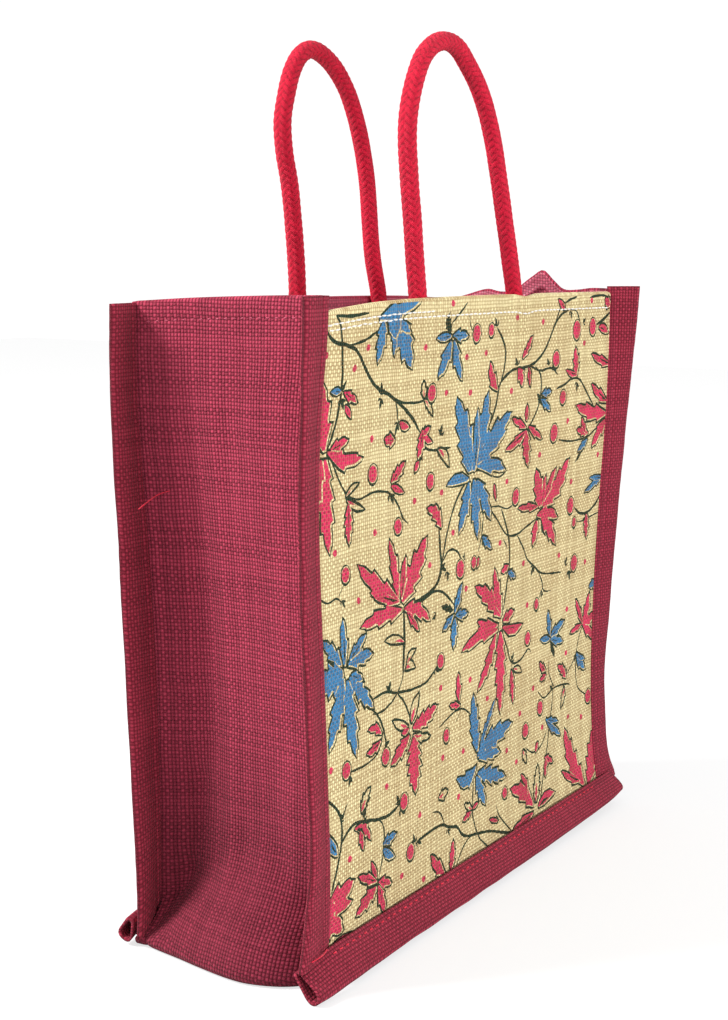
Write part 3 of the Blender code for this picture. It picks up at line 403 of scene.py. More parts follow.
# Sprigs of tiny leaves: where, which way (degrees) and how long.
SPRIGS = table(
    "x z way long", (60, 307, 100, 7), (60, 305, 260, 6), (104, 282, 60, 6), (20, 312, 60, 6), (19, 308, 300, 7),
    (72, 252, 300, 7), (127, 203, 330, 7), (214, 313, 120, 6), (246, 291, 150, 6), (107, 302, 90, 6),
    (78, 290, 240, 6), (184, 338, 120, 6), (262, 311, 300, 7), (118, 145, 330, 6), (65, 143, 70, 7), (84, 152, 30, 6),
    (36, 80, 60, 6), (75, 77, 120, 7), (76, 74, 320, 7), (57, 58, 20, 5), (93, 49, 110, 6), (96, 49, 330, 6),
    (133, 45, 290, 5), (163, 46, 100, 6), (219, 128, 60, 6), (248, 184, 240, 7), (212, 185, 80, 7),
    (297, 297, 270, 6), (104, 270, 240, 5), (302, 101, 60, 5), (281, 97, 160, 5), (318, 111, 250, 5),
    (60, 114, 20, 6), (24, 107, 250, 6), (13, 86, 40, 5), (197, 34, 250, 5), (295, 177, 60, 6), (301, 172, 290, 7),
    (262, 165, 250, 5), (126, 344, 80, 5), (120, 176, 200, 5), (178, 213, 260, 6), (220, 231, 240, 5),
    (255, 311, 120, 5), (284, 343, 290, 5), (124, 279, 80, 7), (124, 272, 250, 6), (22, 202, 300, 5),
    (134, 199, 280, 6), (154, 203, 80, 4), (303, 335, 40, 5), (324, 205, 200, 5), (245, 291, 300, 6))


def petal_outline(row):
    """A pointed petal with forward teeth, as a list of (x, z)."""
    start, tip = Vector((row["x"], row["z"])), Vector((row["tip_x"], row["tip_z"]))
    run = tip - start
    length = run.length
    ahead = run / length
    aside = Vector((-ahead.y, ahead.x))
    teeth = row["teeth"]
    sides = []
    for way in (1, -1):
        line = []
        for k in range(teeth + 1):
            shift = 0.28 if way < 0 else 0.0
            for part, swell in ((0.12, 0.72), (0.55, 0.98), (0.92, 1.22 if teeth else 1.0), (0.97, 0.80)):
                t = (k + part + shift) / (teeth + 1.3)
                if t < 0.96:
                    body = math.sin(math.pi * min(t * 0.88 + 0.10, 1.0)) ** 0.85
                    line.append((t, way * 0.5 * row["wide"] * body * (swell if teeth else 1.0)))
        sides.append(line)
    outline = [(0.0, 0.09 * row["wide"])] + sides[0] + [(1.0, 0.0)] + sides[1][::-1] + [(0.0, -0.09 * row["wide"])]
    points = []
    for t, off in outline:
        bow = row["bow"] * math.sin(math.pi * t)
        points.append(start + ahead * (t * length) + aside * (off + bow))
    return points


def grown(points, by):
    """The outline moved outwards along its corners."""
    area = sum(points[i - 1].x * points[i].y - points[i].x * points[i - 1].y for i in range(len(points)))
    turn = 1 if area > 0 else -1
    moved = []
    for i, here in enumerate(points):
        before, after = points[i - 1], points[(i + 1) % len(points)]
        one = (here - before).normalized()
        two = (after - here).normalized()
        corner = Vector((one.y + two.y, -one.x - two.x)) * turn
        if corner.length < 0.3:
            corner = (one - two) if corner.length < 1e-6 else corner
        corner.normalize()
        moved.append(here + corner * by * (1.35 if one.dot(two) < 0.3 else 1.0))
    return moved


def curve_through(points, steps_of):
    """A smooth line through all the points. steps_of gives a stretch's number of steps from its length."""
    line = []
    for i in range(len(points) - 1):
        p0, p1, p2, p3 = points[max(i - 1, 0)], points[i], points[i + 1], points[min(i + 2, len(points) - 1)]
        steps = steps_of((p2 - p1).length)
        for k in range(steps):
            t = k / steps
            line.append(0.5 * (2 * p1 + (p2 - p0) * t + (2 * p0 - 5 * p1 + 4 * p2 - p3) * t * t
                               + (3 * p1 - p0 - 3 * p2 + p3) * t**3))
    line.append(points[-1])
    return line


def ahead_at(line, i):
    """The line's direction at one of its points."""
    return (line[min(i + 1, len(line) - 1)] - line[max(i - 1, 0)]).normalized()


def ribbon(path, wide):
    """Four-sided stretches of a stem with thinner ends."""
    line = curve_through([Vector(p) for p in path], lambda length: max(2, round(length / STEM_STEP)))
    edges = []
    for i, here in enumerate(line):
        ahead = ahead_at(line, i)
        end = min(i, len(line) - 1 - i) / 2.5
        half = (0.5 * wide * (0.45 + 0.55 * min(end, 1.0))
                * (1 + 0.22 * noise.noise(Vector((here.x * 0.4, here.y * 0.4, 3)))))
        edges.append((here + Vector((-ahead.y, ahead.x)) * half, here - Vector((-ahead.y, ahead.x)) * half))
    return [[edges[i][0], edges[i][1], edges[i + 1][1], edges[i + 1][0]] for i in range(len(edges) - 1)]


def disc(x, z, radius, sides, squash):
    """A round patch, a little higher or lower than wide."""
    turns = [math.tau * k / sides for k in range(sides)]
    return [Vector((x + radius * math.cos(turn), z + squash * radius * math.sin(turn))) for turn in turns]


def print_shapes():
    """Every printed patch in the order of printing: (ink, outline)."""
    shapes = []
    for row in STEMS:
        shapes += [("leaf", quad) for quad in ribbon(row["path"], row["wide"] * 1.25)]
    for row in SPRIGS:
        for turn, share in ((0, 1.0), (48, 0.72), (-52, 0.66)):
            way = math.radians(row["way"] + turn)
            long = row["long"] * share
            leaf = dict(x=row["x"], z=row["z"], tip_x=row["x"] + long * math.cos(way),
                        tip_z=row["z"] + long * math.sin(way), wide=long * 0.42, teeth=0, bow=0.8 * math.sin(turn))
            shapes.append(("leaf", petal_outline(leaf)))
    inside = []
    for row in PETALS:
        shape = petal_outline(row)
        big = min(1.0, row["wide"] / 8)
        slip = Vector((0.42, -0.30)) * big
        shapes.append(("leaf", shape if row["ink"] == "leaf" else grown(shape, 0.95 + 0.40 * big)))
        if row["ink"] == "open":
            inside.append(("bare", grown(shape, -0.35)))
            inside.append(("rose", [p.lerp(shape[0], 0.45) for p in grown(shape, -0.8)]))
        elif row["ink"] != "leaf":
            inside.append(("bare", grown([p + slip for p in shape], -0.10)))
            inside.append((row["ink"], grown([p - slip for p in shape], -0.40 * big)))
            if row["wide"] < 8:
                middle = [p.lerp((shape[0] + shape[-1]) / 2, 0.30) for p in grown(shape, -0.36 * row["wide"])]
                inside.append(("leaf", middle[:len(middle) // 2 + 1]))
    shapes += inside
    for row in BERRIES:
        shapes.append(("leaf", disc(row["x"], row["z"] - 0.3, 0.86 * row["radius"] + 1.10, 18, 1.12)))
        shapes.append(("bare", disc(row["x"] + 0.2, row["z"], 0.86 * row["radius"] + 0.15, 16, 1.12)))
        shapes.append(("rose", disc(row["x"] - 0.1, row["z"], 0.86 * row["radius"] - 0.30, 16, 1.12)))
    for row in DOTS:
        shapes.append(("rose", disc(row["x"], row["z"], 2.1, 9, 0.92)))

    def shaken(p):
        return p + Vector(noise.noise_vector(Vector((p.x * 0.9, p.y * 0.9, 7.0)))[:2]) * 0.42

    return [(ink, [shaken(p) for p in outline]) for ink, outline in shapes]


# ---------------------------------------------------------------- forms
def along(rows, key, column, at):
    """A smooth value of a table's column where its key column has the value at."""
    if at <= rows[0][key]:
        return rows[0][column]
    if at >= rows[-1][key]:
        return rows[-1][column]
    i = 0
    while rows[i + 1][key] < at:
        i += 1
    a, b = rows[i], rows[i + 1]
    span = b[key] - a[key]

    def slope(k):
        before, after = rows[max(k - 1, 0)], rows[min(k + 1, len(rows) - 1)]
        return (after[column] - before[column]) / (after[key] - before[key])

    t = (at - a[key]) / span
    m0, m1 = slope(i) * span, slope(i + 1) * span
    return (a[column] * (2 * t**3 - 3 * t**2 + 1) + m0 * (t**3 - 2 * t**2 + t)
            + b[column] * (3 * t**2 - 2 * t**3) + m1 * (t**3 - t**2))


def smooth(t):
    t = min(max(t, 0.0), 1.0)
    return t * t * (3 - 2 * t)


def bump(far):
    """A soft bell: 1 in the middle, nothing from about 2.5 on."""
    return math.exp(-far * far) if abs(far) < 2.5 else 0.0


def crease(rows, a, z, scale=1.0):
    """Millimetres that the listed creases lie inside the plain form at a point."""
    deep = 0.0
    for row in rows:
        start, run = (row["a1"] * scale, row["z1"]), ((row["a2"] - row["a1"]) * scale, row["z2"] - row["z1"])
        px, pz = a * scale - start[0], z - start[1]
        t = min(max((px * run[0] + pz * run[1]) / (run[0] ** 2 + run[1] ** 2), 0.0), 1.0)
        deep += row["deep"] * bump(math.hypot(px - t * run[0], pz - t * run[1]) / (row["wide"] * scale))
    return deep


def ripple(a, z, seed):
    """The cloth's slight unevenness in millimetres."""
    return (0.42 * noise.noise(Vector((a * 21, z * 17, seed)))
            + 0.20 * noise.noise(Vector((a * 62, z * 55, seed + 9))))


def hem_form(below, run, sizes):
    """Inward dip of the outer face at the hem's stitch line, in metres."""
    stitches = 0.75 + 0.25 * math.cos(math.tau * run / sizes.stitch_pitch)
    line = 0.00040 * bump((below - sizes.hem_stitch) / 0.0011)
    return line * stitches - 0.00022 * bump((below - 0.5 * sizes.hem_stitch) / 0.0035)


def hem_extra(below, sizes):
    """How much thicker the cloth is at a distance below its edge."""
    return sizes.hem_extra * smooth((sizes.hem_height - below) / 0.003)


def seam_y(rows, z):
    return MM * along(rows, "z", "y", z / MM)


def front_y(x, z):
    across = smooth(x / WIDTH)
    return seam_y(FRONT_LEFT_SEAM, z) * (1 - across) + seam_y(FRONT_RIGHT_SEAM, z) * across


def back_y(x, z):
    across = x / WIDTH
    sag = MM * along(BACK_SAG, "z", "sag", z / MM) * math.sin(math.pi * min(max(across, 0), 1)) ** 1.3
    return seam_y(BACK_LEFT_SEAM, z) * (1 - across) + seam_y(BACK_RIGHT_SEAM, z) * across - sag


def front_face(x, z, sizes):
    edge = smooth(min(x, WIDTH - x) / 0.012)
    below = MM * along(FRONT_TOP, "x", "z", x / MM) - z
    return (front_y(x, z) + MM * edge * (crease(FRONT_CREASES, x / MM, z / MM) + ripple(x, z, 1.0))
            + hem_form(below, x, sizes))


def back_face(x, z, sizes):
    edge = smooth(min(x, WIDTH - x) / 0.012)
    below = MM * along(BACK_TOP, "x", "z", x / MM) - z
    return (back_y(x, z) - MM * edge * (crease(BACK_CREASES, x / MM, z / MM) + ripple(x, z, 4.0))
            - hem_form(below, x, sizes))


def gusset_in(across, z):
    """How deep the side is folded in, and how far its low corner bulges out."""
    height = z / MM
    fold_at = along(GUSSET_FOLD, "z", "across", height)
    soft = 0.13
    fold = -soft * math.log(math.exp(-across / fold_at / soft) + math.exp(-(1 - across) / (1 - fold_at) / soft))
    depth = along(GUSSET_FOLD, "z", "depth", height) * max(fold, 0.0)
    reach = along(GUSSET_BULGE, "across", "up", across)
    return MM * depth, MM * along(GUSSET_BULGE, "across", "out", across) * (1 - smooth(height / reach)) ** 1.25


def gusset_point(side, across, z, top, sizes):
    """A point of the left (-1) or right (1) side, from the front seam (0) to the back seam (1)."""
    rows_front = FRONT_LEFT_SEAM if side < 0 else FRONT_RIGHT_SEAM
    rows_back = BACK_LEFT_SEAM if side < 0 else BACK_RIGHT_SEAM
    start, end = seam_y(rows_front, z) + GUSSET_EDGE, seam_y(rows_back, z) - GUSSET_EDGE
    depth, bulge = gusset_in(across, z)
    if side > 0:
        bulge *= RIGHT_BULGE_SHARE
    splay = MM * along(GUSSET_BULGE, "across", "back", across)
    splay *= 1 - smooth((z - SPLAY_FULL) / (SPLAY_TOP - SPLAY_FULL))
    edge = smooth(min(across, 1 - across) / 0.09) * smooth((z - 0.004) / 0.014)
    creases = LEFT_CREASES if side < 0 else RIGHT_CREASES
    laid = across * GUSSET_RIPPLE_WIDE
    uneven = crease(creases, across, z / MM, GUSSET_WIDE / MM) + ripple(laid, z, 12.0 + side)
    x = depth - bulge + MM * edge * uneven
    x += hem_form(top - z, laid, sizes)
    return Vector((x if side < 0 else WIDTH - x, start + across * (end - start) + splay, z))


def base_height(across, front_share, back_share, cloth):
    """Height of the base's middle layer, which rises to the seams in front and behind."""
    near_edge = min(across / front_share, (1 - across) / back_share)
    rise = max(0.0, 1 - near_edge) ** 2
    return cloth / 2 + (SEAM_HEIGHT - 0.002 - cloth / 2) * rise


def gusset_column(across, sizes):
    """One line of the whole strip, as (point, distance below the hem's edge): left side, base, right side."""
    floor = base_height(across, FRONT_FOOT_SHARE, BACK_FOOT_SHARE, sizes.cloth)
    inner_floor = base_height(across, BASE_RISE_SHARE, BASE_RISE_SHARE, sizes.cloth)
    low = floor + BASE_FOLD_RADIUS
    sides = {}
    for side, top_rows in ((-1, LEFT_TOP), (1, RIGHT_TOP)):
        top = MM * along(top_rows, "across", "z", across) - SIDE_EDGE_IN
        heights = [top - MM * drop for drop in HEM_DROPS]
        steps = 96
        heights += [heights[-1] + (low - heights[-1]) * (1 - (1 - k / steps) ** 1.35) for k in range(1, steps + 1)]
        sides[side] = [(gusset_point(side, across, z, top, sizes), top - z) for z in heights]
    left_foot, right_foot = sides[-1][-1][0], sides[1][-1][0]
    column = list(sides[-1])
    turns = [(BASE_FOLD_RADIUS * (1 - math.cos(t)), BASE_FOLD_RADIUS * math.sin(t))
             for t in (math.radians(15 * k) for k in range(1, 6))]
    column += [(left_foot + Vector((out, 0, -down)), 1.0) for out, down in turns]
    start = left_foot + Vector((BASE_FOLD_RADIUS, 0, -BASE_FOLD_RADIUS))
    end = right_foot + Vector((-BASE_FOLD_RADIUS, 0, -BASE_FOLD_RADIUS))
    for k in range(41):
        stop = 0.5 - 0.5 * math.cos(math.pi * k / 40)
        point = start.lerp(end, stop)
        from_foot = min(stop, 1 - stop) * (end.x - start.x)
        point.z = floor + (inner_floor - floor) * smooth(from_foot / FOOT_RUN)
        column.append((point, 1.0))
    column += [(right_foot + Vector((-out, 0, -down)), 1.0) for out, down in reversed(turns)]
    return column + list(reversed(sides[1]))


# ---------------------------------------------------------------- meshes
def start_clean():
    """Nothing selected, object mode."""
    if bpy.context.object and bpy.context.object.mode != "OBJECT":
        bpy.ops.object.mode_set(mode="OBJECT")
    bpy.ops.object.select_all(action="DESELECT")


def add_piece(name, verts, faces, places, finishes, finish_of=None, inks=None):
    """A smooth piece at its place. places is the cloth's own flat place of each point, in metres."""
    mesh = bpy.data.meshes.new(name)
    mesh.from_pydata([tuple(v - MIDDLE) for v in verts], [], faces)
    for finish in finishes:
        mesh.materials.append(finish)
    corners = [0] * len(mesh.loops)
    mesh.loops.foreach_get("vertex_index", corners)
    flat = mesh.uv_layers.new(name="cloth")
    flat.data.foreach_set("uv", [value for corner in corners for value in places[corner]])
    if finish_of is not None:
        mesh.polygons.foreach_set("material_index", finish_of)
    if inks is not None:
        layer = mesh.color_attributes.new("ink", "FLOAT_COLOR", "CORNER")
        corner_inks = [ink for polygon, ink in zip(mesh.polygons, inks) for _ in range(polygon.loop_total)]
        layer.data.foreach_set("color", [value for ink in corner_inks for value in ink])
    mesh.polygons.foreach_set("use_smooth", [True] * len(mesh.polygons))
    mesh.update()
    piece = bpy.data.objects.new(name, mesh)
    bpy.context.scene.collection.objects.link(piece)
    return piece


def rounded_edge(outer, inner, ways):
    """Points that round the cut edge from each outer to each inner point: three per edge point."""
    rim = []
    for o, i, way in zip(outer, inner, ways):
        middle, half = (o + i) / 2, (o - i) / 2
        side = (way - half * (way.dot(half) / max(half.length_squared, 1e-12))).normalized() * half.length
        turns = [math.radians(degrees) for degrees in (45, 90, 135)]
        rim.append([middle + half * math.cos(turn) + side * math.sin(turn) for turn in turns])
    return rim


def sheet_from_grid(name, grid, places, extra, finishes, sizes):
    """A closed sheet of cloth with rounded edges; the hem's extra thickness lies on the inside."""
    rows, columns = len(grid), len(grid[0])
    outer, inner = [], []
    for i in range(rows):
        for j in range(columns):
            down = grid[min(i + 1, rows - 1)][j] - grid[max(i - 1, 0)][j]
            over = grid[i][min(j + 1, columns - 1)] - grid[i][max(j - 1, 0)]
            normal = down.cross(over).normalized()
            outer.append(grid[i][j] + normal * sizes.cloth / 2)
            inner.append(grid[i][j] - normal * (sizes.cloth / 2 + extra[i][j]))
    count = rows * columns
    faces, finish_of = [], []
    for i in range(rows - 1):
        for j in range(columns - 1):
            a, b, c, d = i * columns + j, (i + 1) * columns + j, (i + 1) * columns + j + 1, i * columns + j + 1
            faces += [(a, b, c, d), (count + d, count + c, count + b, count + a)]
            finish_of += [0, 1]
    rim = [(0, j) for j in range(columns)] + [(i, columns - 1) for i in range(1, rows)]
    rim += [(rows - 1, j) for j in range(columns - 2, -1, -1)] + [(i, 0) for i in range(rows - 2, 0, -1)]
    ways = []
    for i, j in rim:
        way = Vector()
        if i in (0, rows - 1):
            way += (grid[i][j] - grid[1 if i == 0 else rows - 2][j]).normalized()
        if j in (0, columns - 1):
            way += (grid[i][j] - grid[i][1 if j == 0 else columns - 2]).normalized()
        ways.append(way)
    marks = [i * columns + j for i, j in rim]
    edge = rounded_edge([outer[m] for m in marks], [inner[m] for m in marks], ways)
    chains = [[m] + [2 * count + 3 * k + n for n in range(3)] + [count + m] for k, m in enumerate(marks)]
    for k, chain in enumerate(chains):
        after = chains[(k + 1) % len(chains)]
        for n in range(4):
            faces.append((chain[n], after[n], after[n + 1], chain[n + 1]))
            finish_of.append(0)
    flat = [place for line in places for place in line]
    flat = flat + flat + [flat[m] for m in marks for _ in range(3)]
    verts = outer + inner + [point for points in edge for point in points]
    return add_piece(name, verts, faces, flat, finishes, finish_of)


def folded_profile(shape, count):
    """The folded strip's section as (share outwards, share of half its thickness), out on one side and back."""
    side = []
    for k in range(count):
        share = 0.5 - 0.5 * math.cos(math.pi * k / (count - 1))
        side.append((share, along(shape, "out", "half", share)))
    return side + [(share, -half) for share, half in reversed(side)]


def tube_faces(first, rings, size, flip=False):
    """The faces between rings of points, the first of which has the index given."""
    faces = []
    for i in range(rings - 1):
        for k in range(size):
            n = (k + 1) % size
            a, b = first + i * size, first + (i + 1) * size
            face = (a + k, a + n, b + n, b + k)
            faces.append(face[::-1] if flip else face)
    return faces


def swept_piece(name, rings, holes, places, hole_places, finishes):
    """A strip folded to a flat tube through rings, open at both ends."""
    size = len(rings[0])
    verts = [p for ring in rings + holes for p in ring]
    faces = tube_faces(0, len(rings), size)
    finish_of = [0] * len(faces)
    first, last = len(rings) * size, (len(rings) - 1) * size
    faces += tube_faces(first, len(holes), size, True)
    finish_of += [1] * (len(faces) - len(finish_of))
    inner_last = first + (len(holes) - 1) * size
    for k in range(size):
        n = (k + 1) % size
        faces += [(k, first + k, first + n, n), (last + k, last + n, inner_last + n, inner_last + k)]
        finish_of += [0, 0]
    return add_piece(name, verts, faces, [p for ring in places + hole_places for p in ring], finishes, finish_of)


def fold_points(root, out, thick_way, wide, half, section, wall=0.0, sway=None):
    """One ring of a folded strip: its outer face, or its hollow where a wall is given."""
    points = []
    for share, swell in section:
        off = math.copysign(max(abs(swell) * half - wall, 0.00012), swell)
        lift = sway(share, swell) if sway else 0.0
        points.append(root + out * (wall + share * (wide - 2 * wall)) + thick_way * (off + lift))
    return points


def fold_places(section, wide, run):
    """The cloth's flat places for such a ring."""
    return [((share if swell > 0 else -share) * wide, run) for share, swell in section]


INKS = {"blue": (1.0, 0.0, 0.0, 1.0), "rose": (0.0, 1.0, 0.0, 1.0), "leaf": (0.0, 0.0, 1.0, 1.0),
        "bare": (0.0, 0.0, 0.0, 1.0)}


def inks_at(spots, shapes):
    """The ink that was printed last at each spot."""
    cells, cell = {}, 3.0
    for k, (x, z) in enumerate(spots):
        cells.setdefault((int(x // cell), int(z // cell)), []).append(k)
    found = ["bare"] * len(spots)
    for ink, outline in shapes:
        xs, zs = [p.x for p in outline], [p.y for p in outline]
        left, right, low, high = min(xs), max(xs), min(zs), max(zs)
        edges = [(a.x, a.y, b.x, b.y) for a, b in zip(outline, outline[1:] + outline[:1])]
        for i in range(int(left // cell), int(right // cell) + 1):
            for j in range(int(low // cell), int(high // cell) + 1):
                for k in cells.get((i, j), ()):
                    x, z = spots[k]
                    if not (left < x < right and low < z < high):
                        continue
                    turns = 0
                    for ax, az, bx, bz in edges:
                        if (az > z) != (bz > z) and x < ax + (bx - ax) * (z - az) / (bz - az):
                            turns += 1 if bz > az else -1
                    if turns:
                        found[k] = ink
    return found


def printed_panel(name, finishes, sizes):
    """The front sheet, cut up along the edges of the print so that each ink ends cleanly."""
    left, right, foot = 0.0, WIDTH / MM, SEAM_HEIGHT / MM
    columns, steps, last_drop = 78, 72, 20

    def top(x):
        return along(FRONT_TOP, "x", "z", x) - FRONT_EDGE_IN

    across = [right * k / columns for k in range(columns + 1)]
    levels = [lambda x, d=d: top(x) - d for d in (*HEM_DROPS, last_drop)]
    levels += [lambda x, k=k: top(x) - last_drop + (foot - top(x) + last_drop) * k / steps
               for k in range(1, steps + 1)]
    points, loops = [], []

    def add_loop(outline):
        turned = sum(outline[i - 1][0] * outline[i][1] - outline[i][0] * outline[i - 1][1]
                     for i in range(len(outline)))
        first = len(points)
        points.extend(Vector((p[0], p[1])) for p in (outline if turned > 0 else outline[::-1]))
        loops.append(list(range(first, len(points))))

    add_loop([(x, foot) for x in across] + [(right, level(right)) for level in levels[-2:0:-1]]
             + [(x, top(x)) for x in across[::-1]] + [(left, level(left)) for level in levels[1:-1]])
    shapes = print_shapes()
    for _, outline in shapes:
        add_loop([(p.x, p.y) for p in outline])
    points += [Vector((x, level(x))) for x in across[1:-1] for level in levels[1:-1]]
    flat, _, triangles, _, _, _ = delaunay_2d_cdt(points, [], loops, 1, 1e-3, False)
    centres = [sum((flat[v] for v in t), Vector((0, 0))) / 3 for t in triangles]
    inside = [left < c.x < right and foot < c.y < top(c.x) for c in centres]
    print_of = inks_at([tuple(c) for c in centres], shapes)
    kept = [(tuple(t), print_of[k]) for k, t in enumerate(triangles) if inside[k]]
    used = sorted({v for t, _ in kept for v in t})
    place_of = {v: k for k, v in enumerate(used)}
    outer, inner, places = [], [], []
    for v in used:
        x, z = flat[v].x * MM, flat[v].y * MM
        here = front_face(x, z, sizes)
        slope_x = (front_face(x + MM, z, sizes) - here) / MM
        slope_z = (front_face(x, z + MM, sizes) - here) / MM
        normal = Vector((slope_x, -1, slope_z)).normalized()
        below = MM * along(FRONT_TOP, "x", "z", x / MM) - z
        outer.append(Vector((x, here, z)) + normal * sizes.cloth / 2)
        inner.append(Vector((x, here, z)) - normal * (sizes.cloth / 2 + hem_extra(below, sizes)))
        places.append((x, z))
    count = len(used)
    faces = [tuple(place_of[v] for v in t) for t, _ in kept]
    inks = [INKS[ink] for _, ink in kept]
    finish_of = [0] * len(faces) + [1] * len(faces)
    directed = {(f[k], f[(k + 1) % 3]) for f in faces for k in range(3)}
    border = [(a, b) for a, b in directed if (b, a) not in directed]
    faces += [tuple(count + v for v in reversed(f)) for f in faces]
    inks += [INKS["bare"]] * len(kept)
    ways = {}
    for a, b in border:
        run = outer[b] - outer[a]
        way = Vector((run.z, 0, -run.x)).normalized()
        ways[a] = ways.get(a, Vector()) + way
        ways[b] = ways.get(b, Vector()) + way
    marks = sorted(ways)
    edge = rounded_edge([outer[m] for m in marks], [inner[m] for m in marks], [ways[m].normalized() for m in marks])
    chains = {m: [m] + [2 * count + 3 * k + n for n in range(3)] + [count + m] for k, m in enumerate(marks)}
    for a, b in sorted(border):
        for n in range(4):
            faces.append((chains[b][n], chains[a][n], chains[a][n + 1], chains[b][n + 1]))
            finish_of.append(0)
            inks.append(INKS["bare"])
    flat_places = places + places + [places[m] for m in marks for _ in range(3)]
    verts = outer + inner + [p for three in edge for p in three]
    return add_piece(name, verts, faces, flat_places, finishes, finish_of, inks)


def plain_panel(name, finishes, sizes):
    """The back sheet, sagging towards the front."""
    columns, steps, last_drop = 90, 84, 0.016
    grid, places, extra = [], [], []
    for i in range(len(HEM_DROPS) + steps):
        line, line_places, line_extra = [], [], []
        for j in range(columns + 1):
            x = WIDTH - WIDTH * j / columns
            top = MM * along(BACK_TOP, "x", "z", x / MM) - BACK_EDGE_IN
            z = top - MM * HEM_DROPS[i] if i < len(HEM_DROPS) else (
                top - last_drop + (SEAM_HEIGHT - top + last_drop) * (i - len(HEM_DROPS) + 1) / steps)
            line.append(Vector((x, back_face(x, z, sizes), z)))
            line_places.append((x, z))
            line_extra.append(hem_extra(top - z, sizes))
        grid.append(line)
        places.append(line_places)
        extra.append(line_extra)
    return sheet_from_grid(name, grid, places, extra, finishes, sizes)


def gusset_strip(name, finishes, sizes):
    """Left side, base and right side in one length."""
    steps = 60
    shares = []
    for k in range(steps + 1):
        t = k / steps
        shares.append(t - 0.055 * math.sin(math.tau * t) if 0 < k < steps else t)
    columns = [gusset_column(share, sizes) for share in shares]
    columns.reverse()
    shares.reverse()
    rows = len(columns[0])
    grid = [[column[i][0] for column in columns] for i in range(rows)]
    extra = [[hem_extra(column[i][1], sizes) for column in columns] for i in range(rows)]
    runs = []
    for column in columns:
        run = -column[0][0].z
        line = []
        for i in range(rows):
            if i:
                run += (column[i][0] - column[i - 1][0]).length
            line.append(run)
        runs.append(line)
    places = [[(shares[j] * GUSSET_WIDE, runs[j][i]) for j in range(len(columns))] for i in range(rows)]
    return sheet_from_grid(name, grid, places, extra, finishes, sizes)


def upright_binding(name, corner_x, seam_rows, turn_rows, way_x, way_y, finishes, sizes, slant=0.0):
    """A flat folded strip along a side seam, sewn close to its inner edge."""
    top, foot, steps = BINDING_TOPS[name], BINDING_FEET[name], 230
    section = folded_profile(FLAT_BINDING_SHAPE, 20)
    rings, places, frames = [], [], []
    seed = corner_x * 40 + way_y * 3
    for k in range(steps + 1):
        z = foot + (top - foot) * k / steps
        turn = math.radians(along(turn_rows, "z", "turn", z / MM))
        wide = MM * (along(turn_rows, "z", "wide", z / MM) + 0.35 * noise.noise(Vector((z * 40, seed, 1)))
                     + 0.18 * noise.noise(Vector((z * 170, seed, 2))))
        out = Vector((way_x * math.cos(turn), way_y * math.sin(turn), 0))
        thick_way = Vector((way_y * math.sin(turn), -way_x * math.cos(turn), 0))
        clear = BINDING_THICK / 2 * FLAT_BINDING_SHAPE[0]["half"] * abs(math.sin(turn))
        tuck = BINDING_TUCK + LOW_TUCK * max(0.0, 1 - z / LOW_TUCK_HEIGHT)
        root = Vector((corner_x + way_x * clear, seam_y(seam_rows, z), z)) - out * tuck
        wide += tuck
        hang = out - Vector((0, 0, slant / wide * max(0.0, 1 - ((z - foot) / (top - foot)) ** 0.893) ** 8))
        pull = 0.5 + 0.5 * math.cos(math.tau * z / sizes.stitch_pitch)
        swell = 1 + 0.10 * noise.noise(Vector((z * 60, seed, 5)))
        half = BINDING_THICK / 2

        def sway(share, side, z=z, pull=pull, swell=swell):
            dent = -0.00028 * pull * bump((share - BINDING_STITCH_SHARE) / 0.07)
            puff = (swell - 1) * half * math.sin(math.pi * share)
            wave = 0.00045 * share * noise.noise(Vector((z * 28, seed, 8)))
            return math.copysign(dent + puff, side) + wave

        rings.append(fold_points(root, hang, thick_way, wide, half, section, 0.0, sway))
        places.append(fold_places(section, wide, z))
        frames.append((root, hang, thick_way, wide, half))
    holes = [fold_points(*frame, section, 0.0011) for frame in frames[::5]]
    piece = swept_piece(name + "_folded_binding", rings, holes, places, places[::5], finishes)
    return piece, frames


def base_binding(name, seam_y_at, way_y, run_rows, finishes, sizes):
    """A strip folded into an open tube along a base seam, past both corners."""
    steps = 190
    first, last = run_rows[0]["x"], run_rows[-1]["x"]
    section = folded_profile(OPEN_BINDING_SHAPE, 18)
    rings, holes, places, frames = [], [], [], []
    for k in range(steps + 1):
        x = first + (last - first) * k / steps
        reach = along(run_rows, "x", "reach", x) + 0.35 * noise.noise(Vector((x * 0.05, way_y * 3, 1)))
        drop = along(run_rows, "x", "drop", x) + 0.25 * noise.noise(Vector((x * 0.04, way_y * 3, 5)))
        half = MM * along(run_rows, "x", "thick", x) / 2
        out = Vector((0, way_y * reach, -drop)).normalized()
        thick_way = Vector((0, way_y * drop, reach)).normalized()
        wide = MM * math.hypot(reach, drop)
        root = Vector((x * MM, seam_y_at(x * MM) + way_y * BASE_BINDING_OUT, SEAM_HEIGHT + BASE_BINDING_LIFT))
        root -= thick_way * MM * along(run_rows, "x", "gape", x)
        root.z -= MM * along(run_rows, "x", "droop", x)
        pull = 0.5 + 0.5 * math.cos(math.tau * MM * x / sizes.stitch_pitch)

        def sway(share, side, x=x, pull=pull, half=half):
            dent = -0.00035 * pull * bump((share - 0.16) / 0.06) if side > 0 else 0.0
            puff = 0.07 * half * math.sin(math.pi * share) * noise.noise(Vector((x * 0.06, way_y * 3, 3)))
            return dent + math.copysign(puff, side)

        rings.append(fold_points(root, out, thick_way, wide, half, section, 0.0, sway))
        holes.append(fold_points(root, out, thick_way, wide, half, section, BASE_BINDING_WALL))
        places.append(fold_places(section, wide, x * MM))
        frames.append((root, out, thick_way, wide, half))
    piece = swept_piece(name.replace("base", "base_folded"), rings, holes, places, places, finishes)
    return piece, frames


